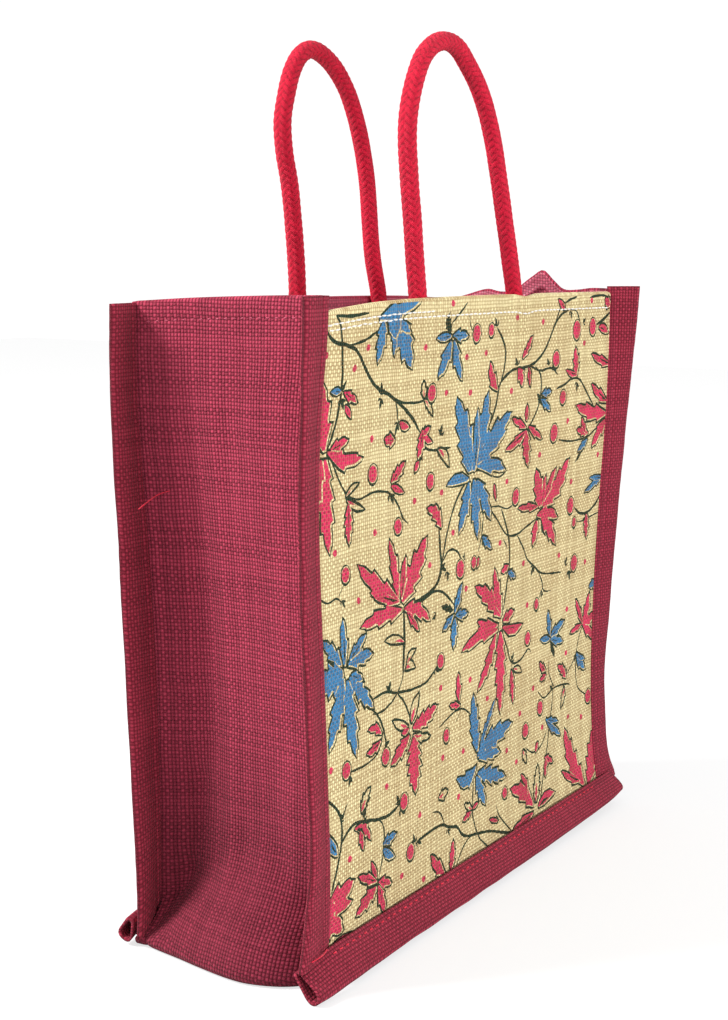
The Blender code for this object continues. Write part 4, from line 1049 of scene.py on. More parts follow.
def rope_line(rows, panel_y, side, sizes):
    """The rope's middle line in even steps, its ends inside the bag behind the hem."""
    line = [Vector((row["x"] * MM, 0, row["z"] * MM)) for row in rows]
    bottom = line[0].z - ROPE_INSIDE + 0.006
    line = [Vector((line[0].x, 0, bottom))] + line + [Vector((line[-1].x, 0, bottom))]
    path = curve_through(line, lambda length: 40)
    for point in path:
        point.y = panel_y(point.x, min(point.z, ROPE_MOUTH)) + side * ROPE_CLEAR
    runs = [0.0]
    for a, b in zip(path, path[1:]):
        runs.append(runs[-1] + (b - a).length)
    steps = round(runs[-1] / sizes.rope_step)
    even, k = [], 0
    for n in range(steps + 1):
        want = runs[-1] * n / steps
        while k < len(runs) - 2 and runs[k + 1] < want:
            k += 1
        even.append(path[k].lerp(path[k + 1], (want - runs[k]) / (runs[k + 1] - runs[k])))
    return even, runs[-1]


def braided_rope(name, rows, panel_y, side, finishes, sizes):
    """A round braid of as many strands each way, over two and under two."""
    path, length = rope_line(rows, panel_y, side, sizes)
    around, radius = ROPE_SIDES, sizes.rope_radius
    lay = math.tau * radius / STRANDS
    verts, faces, places, family = [], [], [], []
    for n, point in enumerate(path):
        ahead = ahead_at(path, n)
        across = Vector((0, 1, 0))
        across = (across - ahead * across.dot(ahead)).normalized()
        third = ahead.cross(across)
        run = length * n / (len(path) - 1)
        for k in range(around):
            turn = math.tau * k / around
            drift = 0.16 * noise.noise(Vector((run * 170, 3 * math.sin(turn), 3 * math.cos(turn) + side)))
            p, q = STRANDS * k / around + run / lay + drift, STRANDS * k / around - run / lay + drift
            i, j = math.floor(p), math.floor(q)
            over_one = (1 - (2 * (p - i) - 1) ** 2) ** 0.5 if 0 < p - i < 1 else 0.0
            over_two = (1 - (2 * (q - j) - 1) ** 2) ** 0.5 if 0 < q - j < 1 else 0.0
            one = over_one * (0.66 + 0.34 * math.sin(math.pi * ((i + q) % 4) / 2))
            two = over_two * (0.66 - 0.34 * math.sin(math.pi * ((j + p) % 4) / 2))
            high = max(one, two)
            reach = (radius * (1 - 0.13 * (1 - high))
                     * (1 + 0.03 * noise.noise(Vector((run * 60, math.sin(turn), side * 5)))))
            if n in (0, len(path) - 1):
                reach *= 0.8
            verts.append(point + (across * math.cos(turn) + third * math.sin(turn)) * reach)
            places.append((turn * radius, run))
            # The second channel, the strands' height, also masks the painted shade between strands.
            family.append((1.0 if one > two else 0.0, high, 0.0, 1.0))
    for n in range(len(path) - 1):
        for k in range(around):
            m = (k + 1) % around
            faces.append((n * around + k, n * around + m, (n + 1) * around + m, (n + 1) * around + k))
    for end, ring in ((0, 0), (1, (len(path) - 1) * around)):
        verts.append(path[-end])
        places.append((0.0, length * end))
        family.append((1.0, 1.0, 0.0, 1.0))
        for k in range(around):
            m = (k + 1) % around
            face = (len(verts) - 1, ring + m, ring + k)
            faces.append(face if end == 0 else face[::-1])
    piece = add_piece(name, verts, faces, places, finishes)
    layer = piece.data.color_attributes.new("strand", "FLOAT_COLOR", "POINT")
    layer.data.foreach_set("color", [value for four in family for value in four])
    seam = piece.data.uv_layers["cloth"].data
    whole = math.tau * radius
    for polygon in piece.data.polygons:
        turns = [seam[c].uv[0] for c in polygon.loop_indices]
        if max(turns) - min(turns) > whole / 2:
            for c in polygon.loop_indices:
                if seam[c].uv[0] < whole / 2:
                    seam[c].uv[0] += whole
    return piece, length


def sewn_line(name, stitches, finish, sizes, long=None, thick=None, lift=0.0):
    """One stitch made from a rounded cylinder, then copied to each (middle, run, way outwards) of a seam."""
    start_clean()
    long, thick = long or sizes.stitch_pitch * 0.74, thick or sizes.thread_thick
    bpy.ops.mesh.primitive_cylinder_add(
        vertices=8, radius=thick / 2, depth=long, end_fill_type="NGON", location=(0, 0, 0))
    model = bpy.context.active_object
    bpy.ops.object.mode_set(mode="EDIT")
    bpy.ops.mesh.select_all(action="SELECT")
    bpy.ops.mesh.subdivide(number_cuts=1)
    bpy.ops.object.mode_set(mode="OBJECT")
    shape = model.data
    core = []
    for vertex in shape.vertices:
        t = vertex.co.z / (long / 2)
        waist = math.sqrt(max(1 - 0.80 * t * t, 0.04))
        core.append((vertex.co.x * waist, vertex.co.y * waist - 0.55 * thick * t * t, vertex.co.z))
    core_faces = [tuple(polygon.vertices) for polygon in shape.polygons]
    bpy.data.objects.remove(model, do_unlink=True)
    verts, faces, places = [], [], []
    for n, (point, along_way, outward) in enumerate(stitches):
        run = along_way.normalized()
        out = (outward - run * outward.dot(run)).normalized()
        side = run.cross(out)
        tilt = 0.10 * noise.noise(Vector((n * 3.7, len(stitches), 2)))
        run = (run + side * tilt).normalized()
        first = len(verts)
        for x, y, z in core:
            verts.append(point + side * x + out * (y + lift) + run * z)
            places.append((x, n * sizes.stitch_pitch + z))
        faces += [tuple(first + v for v in face) for face in core_faces]
    return add_piece(name, verts, faces, places, [finish])


def stitches_between(start, end, pitch, way, spot, ahead=STITCH_AHEAD):
    """Stitches at even steps from start to end. spot(at, at_next) gives a stitch's middle and where it points to."""
    stitches = []
    while start < end:
        here, there = spot(start, start + ahead)
        stitches.append((here, there - here, Vector(way)))
        start += pitch
    return stitches


def thread_tail(name, path, finish, thick):
    """A loose end of thread as a thin tube."""
    line = curve_through([Vector(p) for p in path], lambda length: 8)
    verts, places = [], []
    for n, point in enumerate(line):
        ahead = ahead_at(line, n)
        across = ahead.orthogonal().normalized()
        third = ahead.cross(across)
        half = thick / 2 * (0.35 if n in (0, len(line) - 1) else 1.0)
        for k in range(6):
            verts.append(point + (across * math.cos(math.tau * k / 6) + third * math.sin(math.tau * k / 6)) * half)
            places.append((k * thick / 2, n * 0.001))
    faces = tube_faces(0, len(line), 6)
    faces += [tuple(range(5, -1, -1)), tuple(len(verts) - 6 + k for k in range(6))]
    return add_piece(name, verts, faces, places, [finish])


# ---------------------------------------------------------------- looks
def shade(red, green, blue):
    """A colour given in screen values (0 to 255), as Blender keeps it."""
    return tuple((v / 255 / 12.92 if v < 10.3 else ((v / 255 + 0.055) / 1.055) ** 2.4) for v in (red, green, blue))


class Wiring:
    """Short ways to lay out shader nodes."""

    def __init__(self, tree):
        self.tree, self.count = tree, 0
        tree.nodes.clear()

    def put(self, kind, inputs=(), **settings):
        node = self.tree.nodes.new(kind)
        node.location = (210 * (self.count % 10), -240 * (self.count // 10))
        self.count += 1
        for key, value in settings.items():
            setattr(node, key, value)
        for key, value in dict(inputs).items():
            self.join(value, node.inputs[key])
        return node

    def join(self, value, socket):
        if isinstance(value, bpy.types.NodeSocket):
            self.tree.links.new(value, socket)
        elif socket.type == "RGBA" and len(value) == 3:
            socket.default_value = (*value, 1.0)
        else:
            socket.default_value = value

    def calc(self, operation, a, b=0.0, c=0.0):
        node = self.put("ShaderNodeMath", operation=operation)
        for socket, value in zip(node.inputs, (a, b, c)):
            self.join(value, socket)
        return node.outputs[0]

    def times(self, a, b):
        return self.calc("MULTIPLY", a, b)

    def mix(self, share, a, b):
        node = self.put("ShaderNodeMix", data_type="RGBA")
        for index, value in ((0, share), (6, a), (7, b)):
            self.join(value, node.inputs[index])
        return node.outputs[2]

    def band(self, value, low, high, to_low=0.0, to_high=1.0):
        node = self.put("ShaderNodeMapRange", interpolation_type="SMOOTHSTEP")
        for index, number in enumerate((value, low, high, to_low, to_high)):
            self.join(number, node.inputs[index])
        return node.outputs[0]

    def grain(self, vector, scale, detail=2.0, rough=0.5):
        return self.put("ShaderNodeTexNoise", {
            "Vector": vector, "Scale": scale, "Detail": detail, "Roughness": rough}).outputs[0]

    def scaled(self, vector, scale):
        return self.put("ShaderNodeVectorMath", {0: vector, "Scale": scale}, operation="SCALE").outputs[0]

    def place(self, x, y, z):
        node = self.put("ShaderNodeCombineXYZ")
        for socket, value in zip(node.inputs, (x, y, z)):
            self.join(value, socket)
        return node.outputs[0]


def group(name, inputs, outputs):
    """An empty node group with named inputs and outputs, and its wiring."""
    tree = bpy.data.node_groups.new(name, "ShaderNodeTree")
    for label, kind, default in inputs:
        socket = tree.interface.new_socket(label, in_out="INPUT", socket_type=kind)
        if default is not None:
            socket.default_value = default
    for label, kind in outputs:
        tree.interface.new_socket(label, in_out="OUTPUT", socket_type=kind)
    wiring = Wiring(tree)
    return tree, wiring, wiring.put("NodeGroupInput").outputs, wiring.put("NodeGroupOutput").inputs


# The two ways of the weave: half a thread's width, swing and level of its top, and where its tone starts.
WARP_SEED, WEFT_SEED = 3.0, 11.0
WEAVE_WAYS = {WARP_SEED: (0.492, 0.42, 0.56, 0.18), WEFT_SEED: (0.478, 0.50, 0.48, -0.12)}


def plain_weave():
    """Coarse plain weave: where each thread is on top, the gaps between threads and each thread's own tone."""
    tree, w, given, gives = group(
        "Burlap weave",
        (("Place", "NodeSocketVector", None), ("Pitch", "NodeSocketFloat", WEAVE_PITCH),
         ("Uneven", "NodeSocketFloat", 0.5)),
        [(label, "NodeSocketFloat") for label in ("Height", "Gap", "Tone", "Fibre")])
    split = w.put("ShaderNodeSeparateXYZ", {0: given["Place"]}).outputs
    uneven = given["Uneven"]
    sides = []
    for own, other, seed in ((split[0], split[1], WARP_SEED), (split[1], split[0], WEFT_SEED)):
        drift = w.grain(w.place(w.times(own, 40), w.times(other, 30), seed), 1.0, 1.0)
        drift = w.times(w.calc("SUBTRACT", drift, 0.5), w.times(uneven, 1.6))
        sides.append((w.calc("ADD", w.calc("DIVIDE", own, given["Pitch"]), drift), other, seed))
    tops, tones = [], []
    for (at, other, seed), (cross, _, _) in ((sides[0], sides[1]), (sides[1], sides[0])):
        middle, swing, level, tone_from = WEAVE_WAYS[seed]
        number = w.calc("FLOOR", at)
        off = w.calc("SUBTRACT", w.calc("SUBTRACT", at, number), 0.5)
        thread = w.put("ShaderNodeTexWhiteNoise", {"W": w.calc("ADD", number, seed)},
                       noise_dimensions="1D").outputs[0]
        slub = w.grain(w.place(w.times(number, 3.7), w.times(other, 75), seed), 1.0, 2.0)
        wide = w.calc("MULTIPLY_ADD", w.calc("SUBTRACT", w.calc("ADD", thread, slub), 1.0),
                      w.times(uneven, 0.30), middle)
        edge = w.calc("DIVIDE", off, wide)
        round_top = w.calc("SQRT", w.calc("MAXIMUM", w.calc("SUBTRACT", 1.0, w.times(edge, edge)), 0.0))
        wave = w.times(w.calc("SINE", w.times(cross, math.pi)),
                      w.calc("COSINE", w.times(number, math.pi)))
        if seed == WEFT_SEED:
            wave = w.times(wave, -1.0)
        tops.append(w.times(round_top, w.calc("MULTIPLY_ADD", wave, swing, level)))
        tones.append(w.calc("MULTIPLY_ADD", w.calc("ADD", thread, slub), 0.46, tone_from))
    high = w.calc("MAXIMUM", tops[0], tops[1])
    first = w.calc("GREATER_THAN", tops[0], tops[1])
    tone = w.calc("ADD", w.times(tones[0], first),
                  w.times(tones[1], w.calc("SUBTRACT", 1.0, first)))
    long_way = w.put("ShaderNodeMapping", {"Vector": given["Place"], "Scale": (2600, 520, 1)}).outputs[0]
    wide_way = w.put("ShaderNodeMapping", {"Vector": given["Place"], "Scale": (520, 2600, 1)}).outputs[0]
    fibre = w.calc("ADD", w.times(w.grain(long_way, 1.0, 2.0), first),
                   w.times(w.grain(wide_way, 1.0, 2.0), w.calc("SUBTRACT", 1.0, first)))
    w.join(w.calc("ADD", high, w.times(w.calc("SUBTRACT", fibre, 0.5), 0.16)), gives["Height"])
    # Gap is 1 between the threads; it masks the painted shade there.
    w.join(w.band(high, 0.10, 0.42, 1.0, 0.0), gives["Gap"])
    w.join(tone, gives["Tone"])
    w.join(fibre, gives["Fibre"])
    return tree


def patches_and_low_shade():
    """Slow changes over a piece: its patches, and a painted shade by how near the ground it is."""
    tree, w, given, gives = group(
        "Cloth patches and low shade", (("Place", "NodeSocketVector", None), ("Scale", "NodeSocketFloat", 14.0)),
        (("Patch", "NodeSocketFloat"), ("Low shade", "NodeSocketFloat")))
    patch = w.grain(w.scaled(given["Place"], given["Scale"]), 1.0, 3.0, 0.55)
    w.join(w.band(patch, 0.30, 0.70), gives["Patch"])
    height = w.put("ShaderNodeSeparateXYZ", {0: given["Place"]}).outputs[2]
    # Low shade: painted shade, 1 near the ground and fading out between about 6 and 17 cm up.
    w.join(w.band(w.calc("MULTIPLY_ADD", patch, 0.04, height), 0.06, 0.17, 1.0, 0.0), gives["Low shade"])
    return tree


def new_finish(name):
    finish = bpy.data.materials.new(name)
    finish.use_nodes = True
    return finish, Wiring(finish.node_tree)


def finish_ends(w, colour, roughness, height, distance, strength=1.0, sheen=0.0, coat=0.0, coat_rough=0.2,
                specular=0.5, glow=0.0):
    """The material's shader with its relief."""
    relief = w.put("ShaderNodeBump", {"Height": height, "Distance": distance, "Strength": strength})
    shader = w.put("ShaderNodeBsdfPrincipled", {
        "Base Color": colour, "Roughness": roughness, "Normal": relief.outputs[0], "Sheen Weight": sheen,
        "Sheen Roughness": 0.5, "Specular IOR Level": specular, "Emission Strength": glow, "Coat Weight": coat,
        "Coat Roughness": coat_rough})
    w.join(shader.outputs[0], w.put("ShaderNodeOutputMaterial").inputs[0])


def tinted(colour, by, plus=0.0):
    """A darker or lighter colour."""
    return tuple(min(1.0, by * v + plus) for v in colour)


def burlap(name, light, dark, sizes, uneven, colours=None, film=False):
    """Burlap of one dye, with the print's inks on top where a piece has them."""
    finish, w = new_finish(name)
    place = w.put("ShaderNodeUVMap", uv_map="cloth").outputs[0]
    weave = w.put("ShaderNodeGroup", node_tree=bpy.data.node_groups["Burlap weave"])
    weave.inputs["Pitch"].default_value = sizes.thread_pitch
    weave.inputs["Uneven"].default_value = uneven
    w.join(place, weave.inputs["Place"])
    height, gap, tone, fibre = (weave.outputs[k] for k in ("Height", "Gap", "Tone", "Fibre"))
    # This group gives the cloth's random patches and the painted shade near the ground.
    patches = w.put("ShaderNodeGroup", node_tree=bpy.data.node_groups["Cloth patches and low shade"])
    w.join(w.put("ShaderNodeTexCoord").outputs["Object"], patches.inputs["Place"])
    middle = tuple(0.30 * a + 0.70 * b for a, b in zip(light, dark))
    # Painted highlight: the tops of the threads are lightened by their height, from the middle colour to the light
    # one.
    shine = w.times(w.band(height, 0.45, 0.96, 0.05, 1.0), w.band(tone, 0.10, 0.85, 0.22, 1.0))
    thread = w.mix(shine, middle, light)
    thread = w.mix(w.times(w.band(fibre, 0.30, 0.62, 1.0, 0.0), 0.30), thread, middle)
    thread = w.mix(w.times(patches.outputs["Patch"], 0.08), thread, tinted(light, 1.12, 0.015))
    if colours is not None:
        inks = w.put("ShaderNodeSeparateColor")
        w.join(w.put("ShaderNodeVertexColor", layer_name="ink").outputs[0], inks.inputs[0])
        cover = w.times(w.band(height, 0.30, 0.62, 0.62, 1.0), w.band(fibre, 0.10, 0.45, 0.78, 1.0))
        strong = w.band(height, 0.15, 0.45, 0.80, 1.0)
        for output, ink in ((2, colours.leaf), (0, colours.blue), (1, colours.rose)):
            worn = w.mix(w.band(tone, 0.15, 0.85), tinted(ink, 0.70), tinted(ink, 1.22, 0.01))
            thread = w.mix(w.times(inks.outputs[output], strong if output == 2 else cover), thread, worn)
    # Painted shade: the gaps between threads take the dark colour.
    colour = w.mix(gap if colours is None else w.times(gap, 0.92), thread, dark)
    # Painted shade: the maroon cloth darkens towards the ground.
    if name == "maroon burlap":
        colour = w.mix(w.times(patches.outputs["Low shade"], 0.42), colour, tinted(dark, 0.5))
    if film:
        stretched = w.put("ShaderNodeMapping", {"Vector": place, "Scale": (90, 60, 1)}).outputs[0]
        wrinkle = w.grain(stretched, 1.0, 4.0, 0.6)
        mixed = w.calc("ADD", w.times(height, 0.45), w.times(wrinkle, 1.4))
        finish_ends(w, colour, w.band(wrinkle, 0.35, 0.65, 0.30, 0.48), mixed, 0.00045, coat=0.35, coat_rough=0.25)
    else:
        finish_ends(w, colour, w.band(height, 0.2, 1.0, 0.96, 0.82), height, 0.00100, sheen=0.04, specular=0.15)
    return finish


def rope_cotton(name, light, dark):
    """Braided cord: each strand is a bundle of fine yarns that lie along it."""
    finish, w = new_finish(name)
    place = w.put("ShaderNodeUVMap", uv_map="cloth").outputs[0]
    strand = w.put("ShaderNodeSeparateColor")
    w.join(w.put("ShaderNodeVertexColor", layer_name="strand").outputs[0], strand.inputs[0])
    split = w.put("ShaderNodeSeparateXYZ", {0: place}).outputs
    lines = []
    for way in (1.0, -1.0):
        across = w.calc("MULTIPLY_ADD", split[1], way, split[0])
        lines.append(w.calc("MULTIPLY_ADD", w.calc("SINE", w.times(across, math.tau / 0.00105)), 0.5, 0.5))
    one = w.calc("GREATER_THAN", strand.outputs[0], 0.5)
    yarn = w.calc("ADD", w.times(lines[1], one), w.times(lines[0], w.calc("SUBTRACT", 1.0, one)))
    fuzz = w.grain(w.scaled(place, 1900.0), 1.0, 3.0)
    slow = w.grain(w.scaled(place, 130.0), 1.0)
    # deep is 1 where the strands lie low, between them: the mask of a painted shade.
    deep = w.band(strand.outputs[1], 0.25, 0.80, 1.0, 0.0)
    colour = w.mix(w.band(slow, 0.35, 0.70), tinted(light, 0.80), light)
    # Painted shade: the grooves between yarns and the low parts between strands take the dark colour.
    colour = w.mix(w.times(w.calc("SUBTRACT", 1.0, yarn), 0.36), colour, dark)
    colour = w.mix(w.times(deep, 0.80), colour, dark)
    # Painted shade in the fuzz's low specks and painted highlight on its raised ones.
    colour = w.mix(w.times(w.band(fuzz, 0.48, 0.30), 0.45), colour, dark)
    colour = w.mix(w.times(w.band(fuzz, 0.54, 0.72), 0.55), colour, tinted(light, 1.15, 0.07))
    height = w.calc("ADD", w.times(yarn, 0.6), w.times(fuzz, 0.4))
    finish_ends(w, colour, w.band(fuzz, 0.3, 0.7, 0.62, 0.84), height, 0.00045, sheen=0.05, specular=0.2)
    return finish


def sewing_thread(name, light, dark):
    finish, w = new_finish(name)
    place = w.put("ShaderNodeTexCoord").outputs["Object"]
    twist = w.put("ShaderNodeTexWave", {"Vector": place, "Scale": 900.0, "Distortion": 1.2, "Detail": 1.0}).outputs[1]
    uneven = w.grain(place, 700.0)
    colour = w.mix(w.times(twist, 0.55), light, dark)
    colour = w.mix(w.band(uneven, 0.55, 0.75), colour, tinted(light, 1.2))
    finish_ends(w, colour, w.band(uneven, 0.3, 0.7, 0.55, 0.75), twist, 0.00008, sheen=0.15)
    return finish


def floor_paper(name, colour):
    finish, w = new_finish(name)
    place = w.put("ShaderNodeTexCoord").outputs["Object"]
    seen = w.put("ShaderNodeLightPath").outputs["Is Camera Ray"]
    tint = w.mix(seen, tinted(colour, 0.55), tinted(colour, 0.34))
    finish_ends(w, tint, 0.9, w.grain(place, 400.0), 0.00005, strength=0.3, specular=0.1,
                glow=w.times(seen, 0.70))
    return finish


def finish_named(name):
    """A finish by its name, made when a piece first needs it."""
    made = bpy.data.materials.get(name)
    if made:
        return made
    if "Burlap weave" not in bpy.data.node_groups:
        plain_weave()
        patches_and_low_shade()
    sizes, colours = bpy.context.scene.bag_sizes, bpy.context.scene.bag_colours
    makers = {
        "maroon burlap": lambda: burlap(name, colours.maroon, colours.maroon_gap, sizes, 0.62),
        "maroon strip": lambda: burlap(name, colours.strip, colours.strip_gap, sizes, 0.38),
        "strip inside": lambda: burlap(name, colours.strip, colours.strip_gap, sizes, 0.38),
        # The film sides take the lightened film_side colour: painted light for the shaded inside of the bag.
        "maroon film side": lambda: burlap(name, colours.film_side, colours.maroon_gap, sizes, 0.40, film=True),
        "printed burlap": lambda: burlap(name, colours.straw, colours.straw_gap, sizes, 0.62, colours),
        "straw film side": lambda: burlap(name, colours.film_side, colours.maroon_gap, sizes, 0.40, film=True),
        "red rope": lambda: rope_cotton(name, colours.rope, colours.rope_gap),
        "maroon thread": lambda: sewing_thread(name, colours.thread, colours.maroon_gap),
        "white thread": lambda: sewing_thread(name, colours.white_thread, tinted(colours.white_thread, 0.6)),
        "red thread": lambda: sewing_thread(name, colours.rope, colours.rope_gap),
        "pale paper": lambda: floor_paper(name, colours.floor),
    }
    return makers[name]()


def colour_property(name, description, red, green, blue):
    return bpy.props.FloatVectorProperty(
        name=name, description=description, subtype="COLOR", size=3, min=0.0, max=1.0,
        default=shade(red, green, blue))


def length_property(name, description, value):
    return bpy.props.FloatProperty(
        name=name, description=description, unit="LENGTH", min=0.0, precision=5, default=value)


class BagSizes(bpy.types.PropertyGroup):
    """Sizes of the cloth, seams and ropes."""
    cloth: length_property("Cloth", "Thickness of the burlap with its inner film", 0.0020)
    hem_height: length_property("Hem height", "Depth of the folded hem at the mouth", 0.012)
    hem_extra: length_property("Hem fold", "How much thicker the hem is, on the inside", 0.0012)
    hem_stitch: length_property("Hem stitching", "Distance of the hem's stitch line below its edge", 0.0098)
    thread_pitch: length_property("Thread pitch", "From one thread of the weave to the next", WEAVE_PITCH)
    stitch_pitch: length_property("Stitch length", "From one stitch of a seam to the next", 0.0052)
    thread_thick: length_property("Sewing thread", "Thickness of the sewing thread", 0.0010)
    rope_radius: length_property("Rope radius", "Half the thickness of a handle", 0.0053)
    rope_step: length_property("Rope step", "Distance between the rings of a handle's skin", 0.00085)


class BagColours(bpy.types.PropertyGroup):
    """Dyes and inks, with the painted highlight and painted shade of the weave and the ropes."""
    # Each raised-thread colour is the painted highlight on thread tops; each gap colour is the painted shade between
    # threads.
    maroon: colour_property("Maroon", "Raised threads of the sides and back", 196, 68, 94)
    maroon_gap: colour_property("Maroon gaps", "Between the threads of the sides and back", 70, 6, 20)
    strip: colour_property("Strips", "Raised threads of the seam bindings", 178, 56, 78)
    strip_gap: colour_property("Strip gaps", "Between the threads of the seam bindings", 76, 6, 20)
    # Painted light: film_side is lighter than the maroon to brighten the inside of the bag, which lies in shade.
    film_side: colour_property("Film side", "Threads seen through the film inside", 222, 106, 130)
    straw: colour_property("Straw", "Raised threads of the front", 255, 243, 190)
    straw_gap: colour_property("Straw gaps", "Between the threads of the front", 150, 106, 50)
    blue: colour_property("Blue ink", "Blue petals", 46, 118, 166)
    rose: colour_property("Rose ink", "Rose petals, berries and dots", 204, 36, 84)
    leaf: colour_property("Leaf ink", "Stems, leaves and outlines", 22, 46, 26)
    # The rope gap colour is the painted shade between strands and yarns.
    rope: colour_property("Rope", "Outer yarns of the handles", 242, 18, 62)
    rope_gap: colour_property("Rope gaps", "Between the strands of the handles", 110, 4, 20)
    thread: colour_property("Seam thread", "Sewing thread of the bindings", 196, 66, 98)
    white_thread: colour_property("Hem thread", "Sewing thread of the front hem", 255, 252, 246)
    floor: colour_property("Floor", "Paper under the bag", 250, 250, 250)


def on_bag(piece, slot, *nodes):
    """The piece rides on the bag and stands for its solids. The slot argument is not used."""
    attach(piece, "root")
    if nodes:
        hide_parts(*nodes)
    return piece


def seam_stitches(name, frames, share, side, pitch, finish, sizes, skip, deep, thick=None):
    """Stitches along a folded strip at a share of its width, sunk into one of its faces."""
    stitches, run, due = [], 0.0, 0.0
    swell = along(FLAT_BINDING_SHAPE, "out", "half", share)

    def spot(root, out, thick_way, wide, half):
        return root + out * share * wide + thick_way * side * (half * swell - deep)

    for n in range(len(frames) - 1):
        here, there = spot(*frames[n]), spot(*frames[n + 1])
        run += (there - here).length
        if run >= due and skip <= n < len(frames) - 1 - skip:
            stitches.append((here, there - here, frames[n][2] * side))
            due = run + pitch
    return sewn_line(name, stitches, finish, sizes, thick=thick)


class BAG_OT_front(bpy.types.Operator):
    """Make the printed front panel with its hem stitching"""
    bl_idname = "bag.front"
    bl_label = "Front panel"

    def execute(self, context):
        sizes = context.scene.bag_sizes
        start_clean()
        finishes = [finish_named("printed burlap"), finish_named("straw film side")]
        panel = printed_panel("front_printed_panel", finishes, sizes)
        on_bag(panel, "printed_burlap", "front_panel")
        for name, level, start, end in FRONT_HEM_ROWS:
            def spot(x, after, level=level):
                z, z_after = (MM * along(FRONT_TOP, "x", "z", at / MM) - level for at in (x, after))
                z += 0.0003 * noise.noise(Vector((x * 200, 3, 3)))
                return [Vector((at, front_face(at, high, sizes) - sizes.cloth / 2 - STITCH_PROUD, high))
                        for at, high in ((x, z), (after, z_after))]

            stitches = stitches_between(start * MM, end * MM, sizes.stitch_pitch, (0, -1, 0), spot)
            row = sewn_line(name, stitches, finish_named("white thread"), sizes, **FRONT_HEM_THREAD)
            on_bag(row, "printed_burlap")
        return {"FINISHED"}


class BAG_OT_back(bpy.types.Operator):
    """Make the plain back panel with its hem stitching"""
    bl_idname = "bag.back"
    bl_label = "Back panel"

    def execute(self, context):
        sizes = context.scene.bag_sizes
        start_clean()
        finishes = [finish_named("maroon burlap"), finish_named("maroon film side")]
        panel = plain_panel("back_plain_panel", finishes, sizes)
        on_bag(panel, "maroon_burlap", "back_panel")

        def spot(x, after):
            z = MM * along(BACK_TOP, "x", "z", x / MM) - sizes.hem_stitch
            return [Vector((at, back_face(at, z, sizes) + sizes.cloth / 2 + STITCH_PROUD, z)) for at in (x, after)]

        stitches = stitches_between(0.006, 0.339, sizes.stitch_pitch, (0, 1, 0), spot)
        on_bag(sewn_line("back_hem_stitches", stitches, finish_named("maroon thread"), sizes), "maroon_burlap")
        return {"FINISHED"}


class BAG_OT_gusset(bpy.types.Operator):
    """Make the strip of both sides and the base"""
    bl_idname = "bag.gusset"
    bl_label = "Sides and base"

    def execute(self, context):
        sizes = context.scene.bag_sizes
        start_clean()
        finishes = [finish_named("maroon burlap"), finish_named("maroon film side")]
        strip = gusset_strip("gusset_side_base_strip", finishes, sizes)
        on_bag(strip, "maroon_burlap", "gusset")
        for side, name, rows in ((-1, "left_hem_stitches", LEFT_TOP), (1, "right_hem_stitches", RIGHT_TOP)):
            def spot(*shares, side=side, rows=rows):
                pair = []
                for share in shares:
                    top = MM * along(rows, "across", "z", share) - SIDE_EDGE_IN
                    point = gusset_point(side, share, top - sizes.hem_stitch, top, sizes)
                    point.x += side * (sizes.cloth / 2 + STITCH_PROUD)
                    pair.append(point)
                return pair

            stitches = stitches_between(0.05, 0.955, sizes.stitch_pitch / GUSSET_WIDE, (side, 0, 0), spot, 0.015)
            on_bag(sewn_line(name, stitches, finish_named("maroon thread"), sizes), "maroon_burlap")
        return {"FINISHED"}


class BAG_OT_bindings(bpy.types.Operator):
    """Make the folded strips of the four upright seams with their stitches"""
    bl_idname = "bag.bindings"
    bl_label = "Upright bindings"

    def execute(self, context):
        sizes = context.scene.bag_sizes
        strips = (
            ("front_left", 0.0, FRONT_LEFT_SEAM, FRONT_LEFT_TURN, -1, -1, 0.0),
            ("front_right", WIDTH, FRONT_RIGHT_SEAM, FRONT_RIGHT_TURN, 1, -1, 0.0),
            ("back_left", 0.0, BACK_LEFT_SEAM, BACK_LEFT_TURN, -1, 1, BACK_LEFT_SLANT),
            ("back_right", WIDTH, BACK_RIGHT_SEAM, BACK_RIGHT_TURN, 1, 1, 0.0))
        finishes = [finish_named("maroon strip"), finish_named("strip inside")]
        for name, corner, seam, turn, way_x, way_y, slant in strips:
            start_clean()
            strip, frames = upright_binding(name, corner, seam, turn, way_x, way_y, finishes, sizes, slant)
            on_bag(strip, "maroon_burlap", name + "_binding")
            for side, label in ((1, "near"), (-1, "far")):
                row = seam_stitches(f"{name}_{label}_stitches", frames, BINDING_STITCH_SHARE, side,
                                    sizes.stitch_pitch, finish_named("maroon thread"), sizes, skip=3, deep=0.0002)
                on_bag(row, "maroon_burlap")
        return {"FINISHED"}


class BAG_OT_base_bindings(bpy.types.Operator):
    """Make the open folded strips of the two base seams with their stitches"""
    bl_idname = "bag.base_bindings"
    bl_label = "Base bindings"

    def execute(self, context):
        sizes = context.scene.bag_sizes
        strips = (("front_base_binding", lambda x: front_y(x, SEAM_HEIGHT), -1, FRONT_BASE_RUN),
                  ("back_base_binding", lambda x: back_y(x, SEAM_HEIGHT), 1, BACK_BASE_RUN))
        finishes = [finish_named("maroon strip"), finish_named("strip inside")]
        for name, seam, way_y, run_rows in strips:
            start_clean()
            strip, frames = base_binding(name, seam, way_y, run_rows, finishes, sizes)
            on_bag(strip, "maroon_burlap", name)
            for label, share, pitch in BASE_STITCH_ROWS:
                row = seam_stitches(name.replace("binding", label + "_stitches"), frames, share, 1,
                                    sizes.stitch_pitch * pitch, finish_named("red thread"), sizes, skip=14,
                                    deep=0.0004, thick=0.0011)
                on_bag(row, "maroon_burlap")
        return {"FINISHED"}


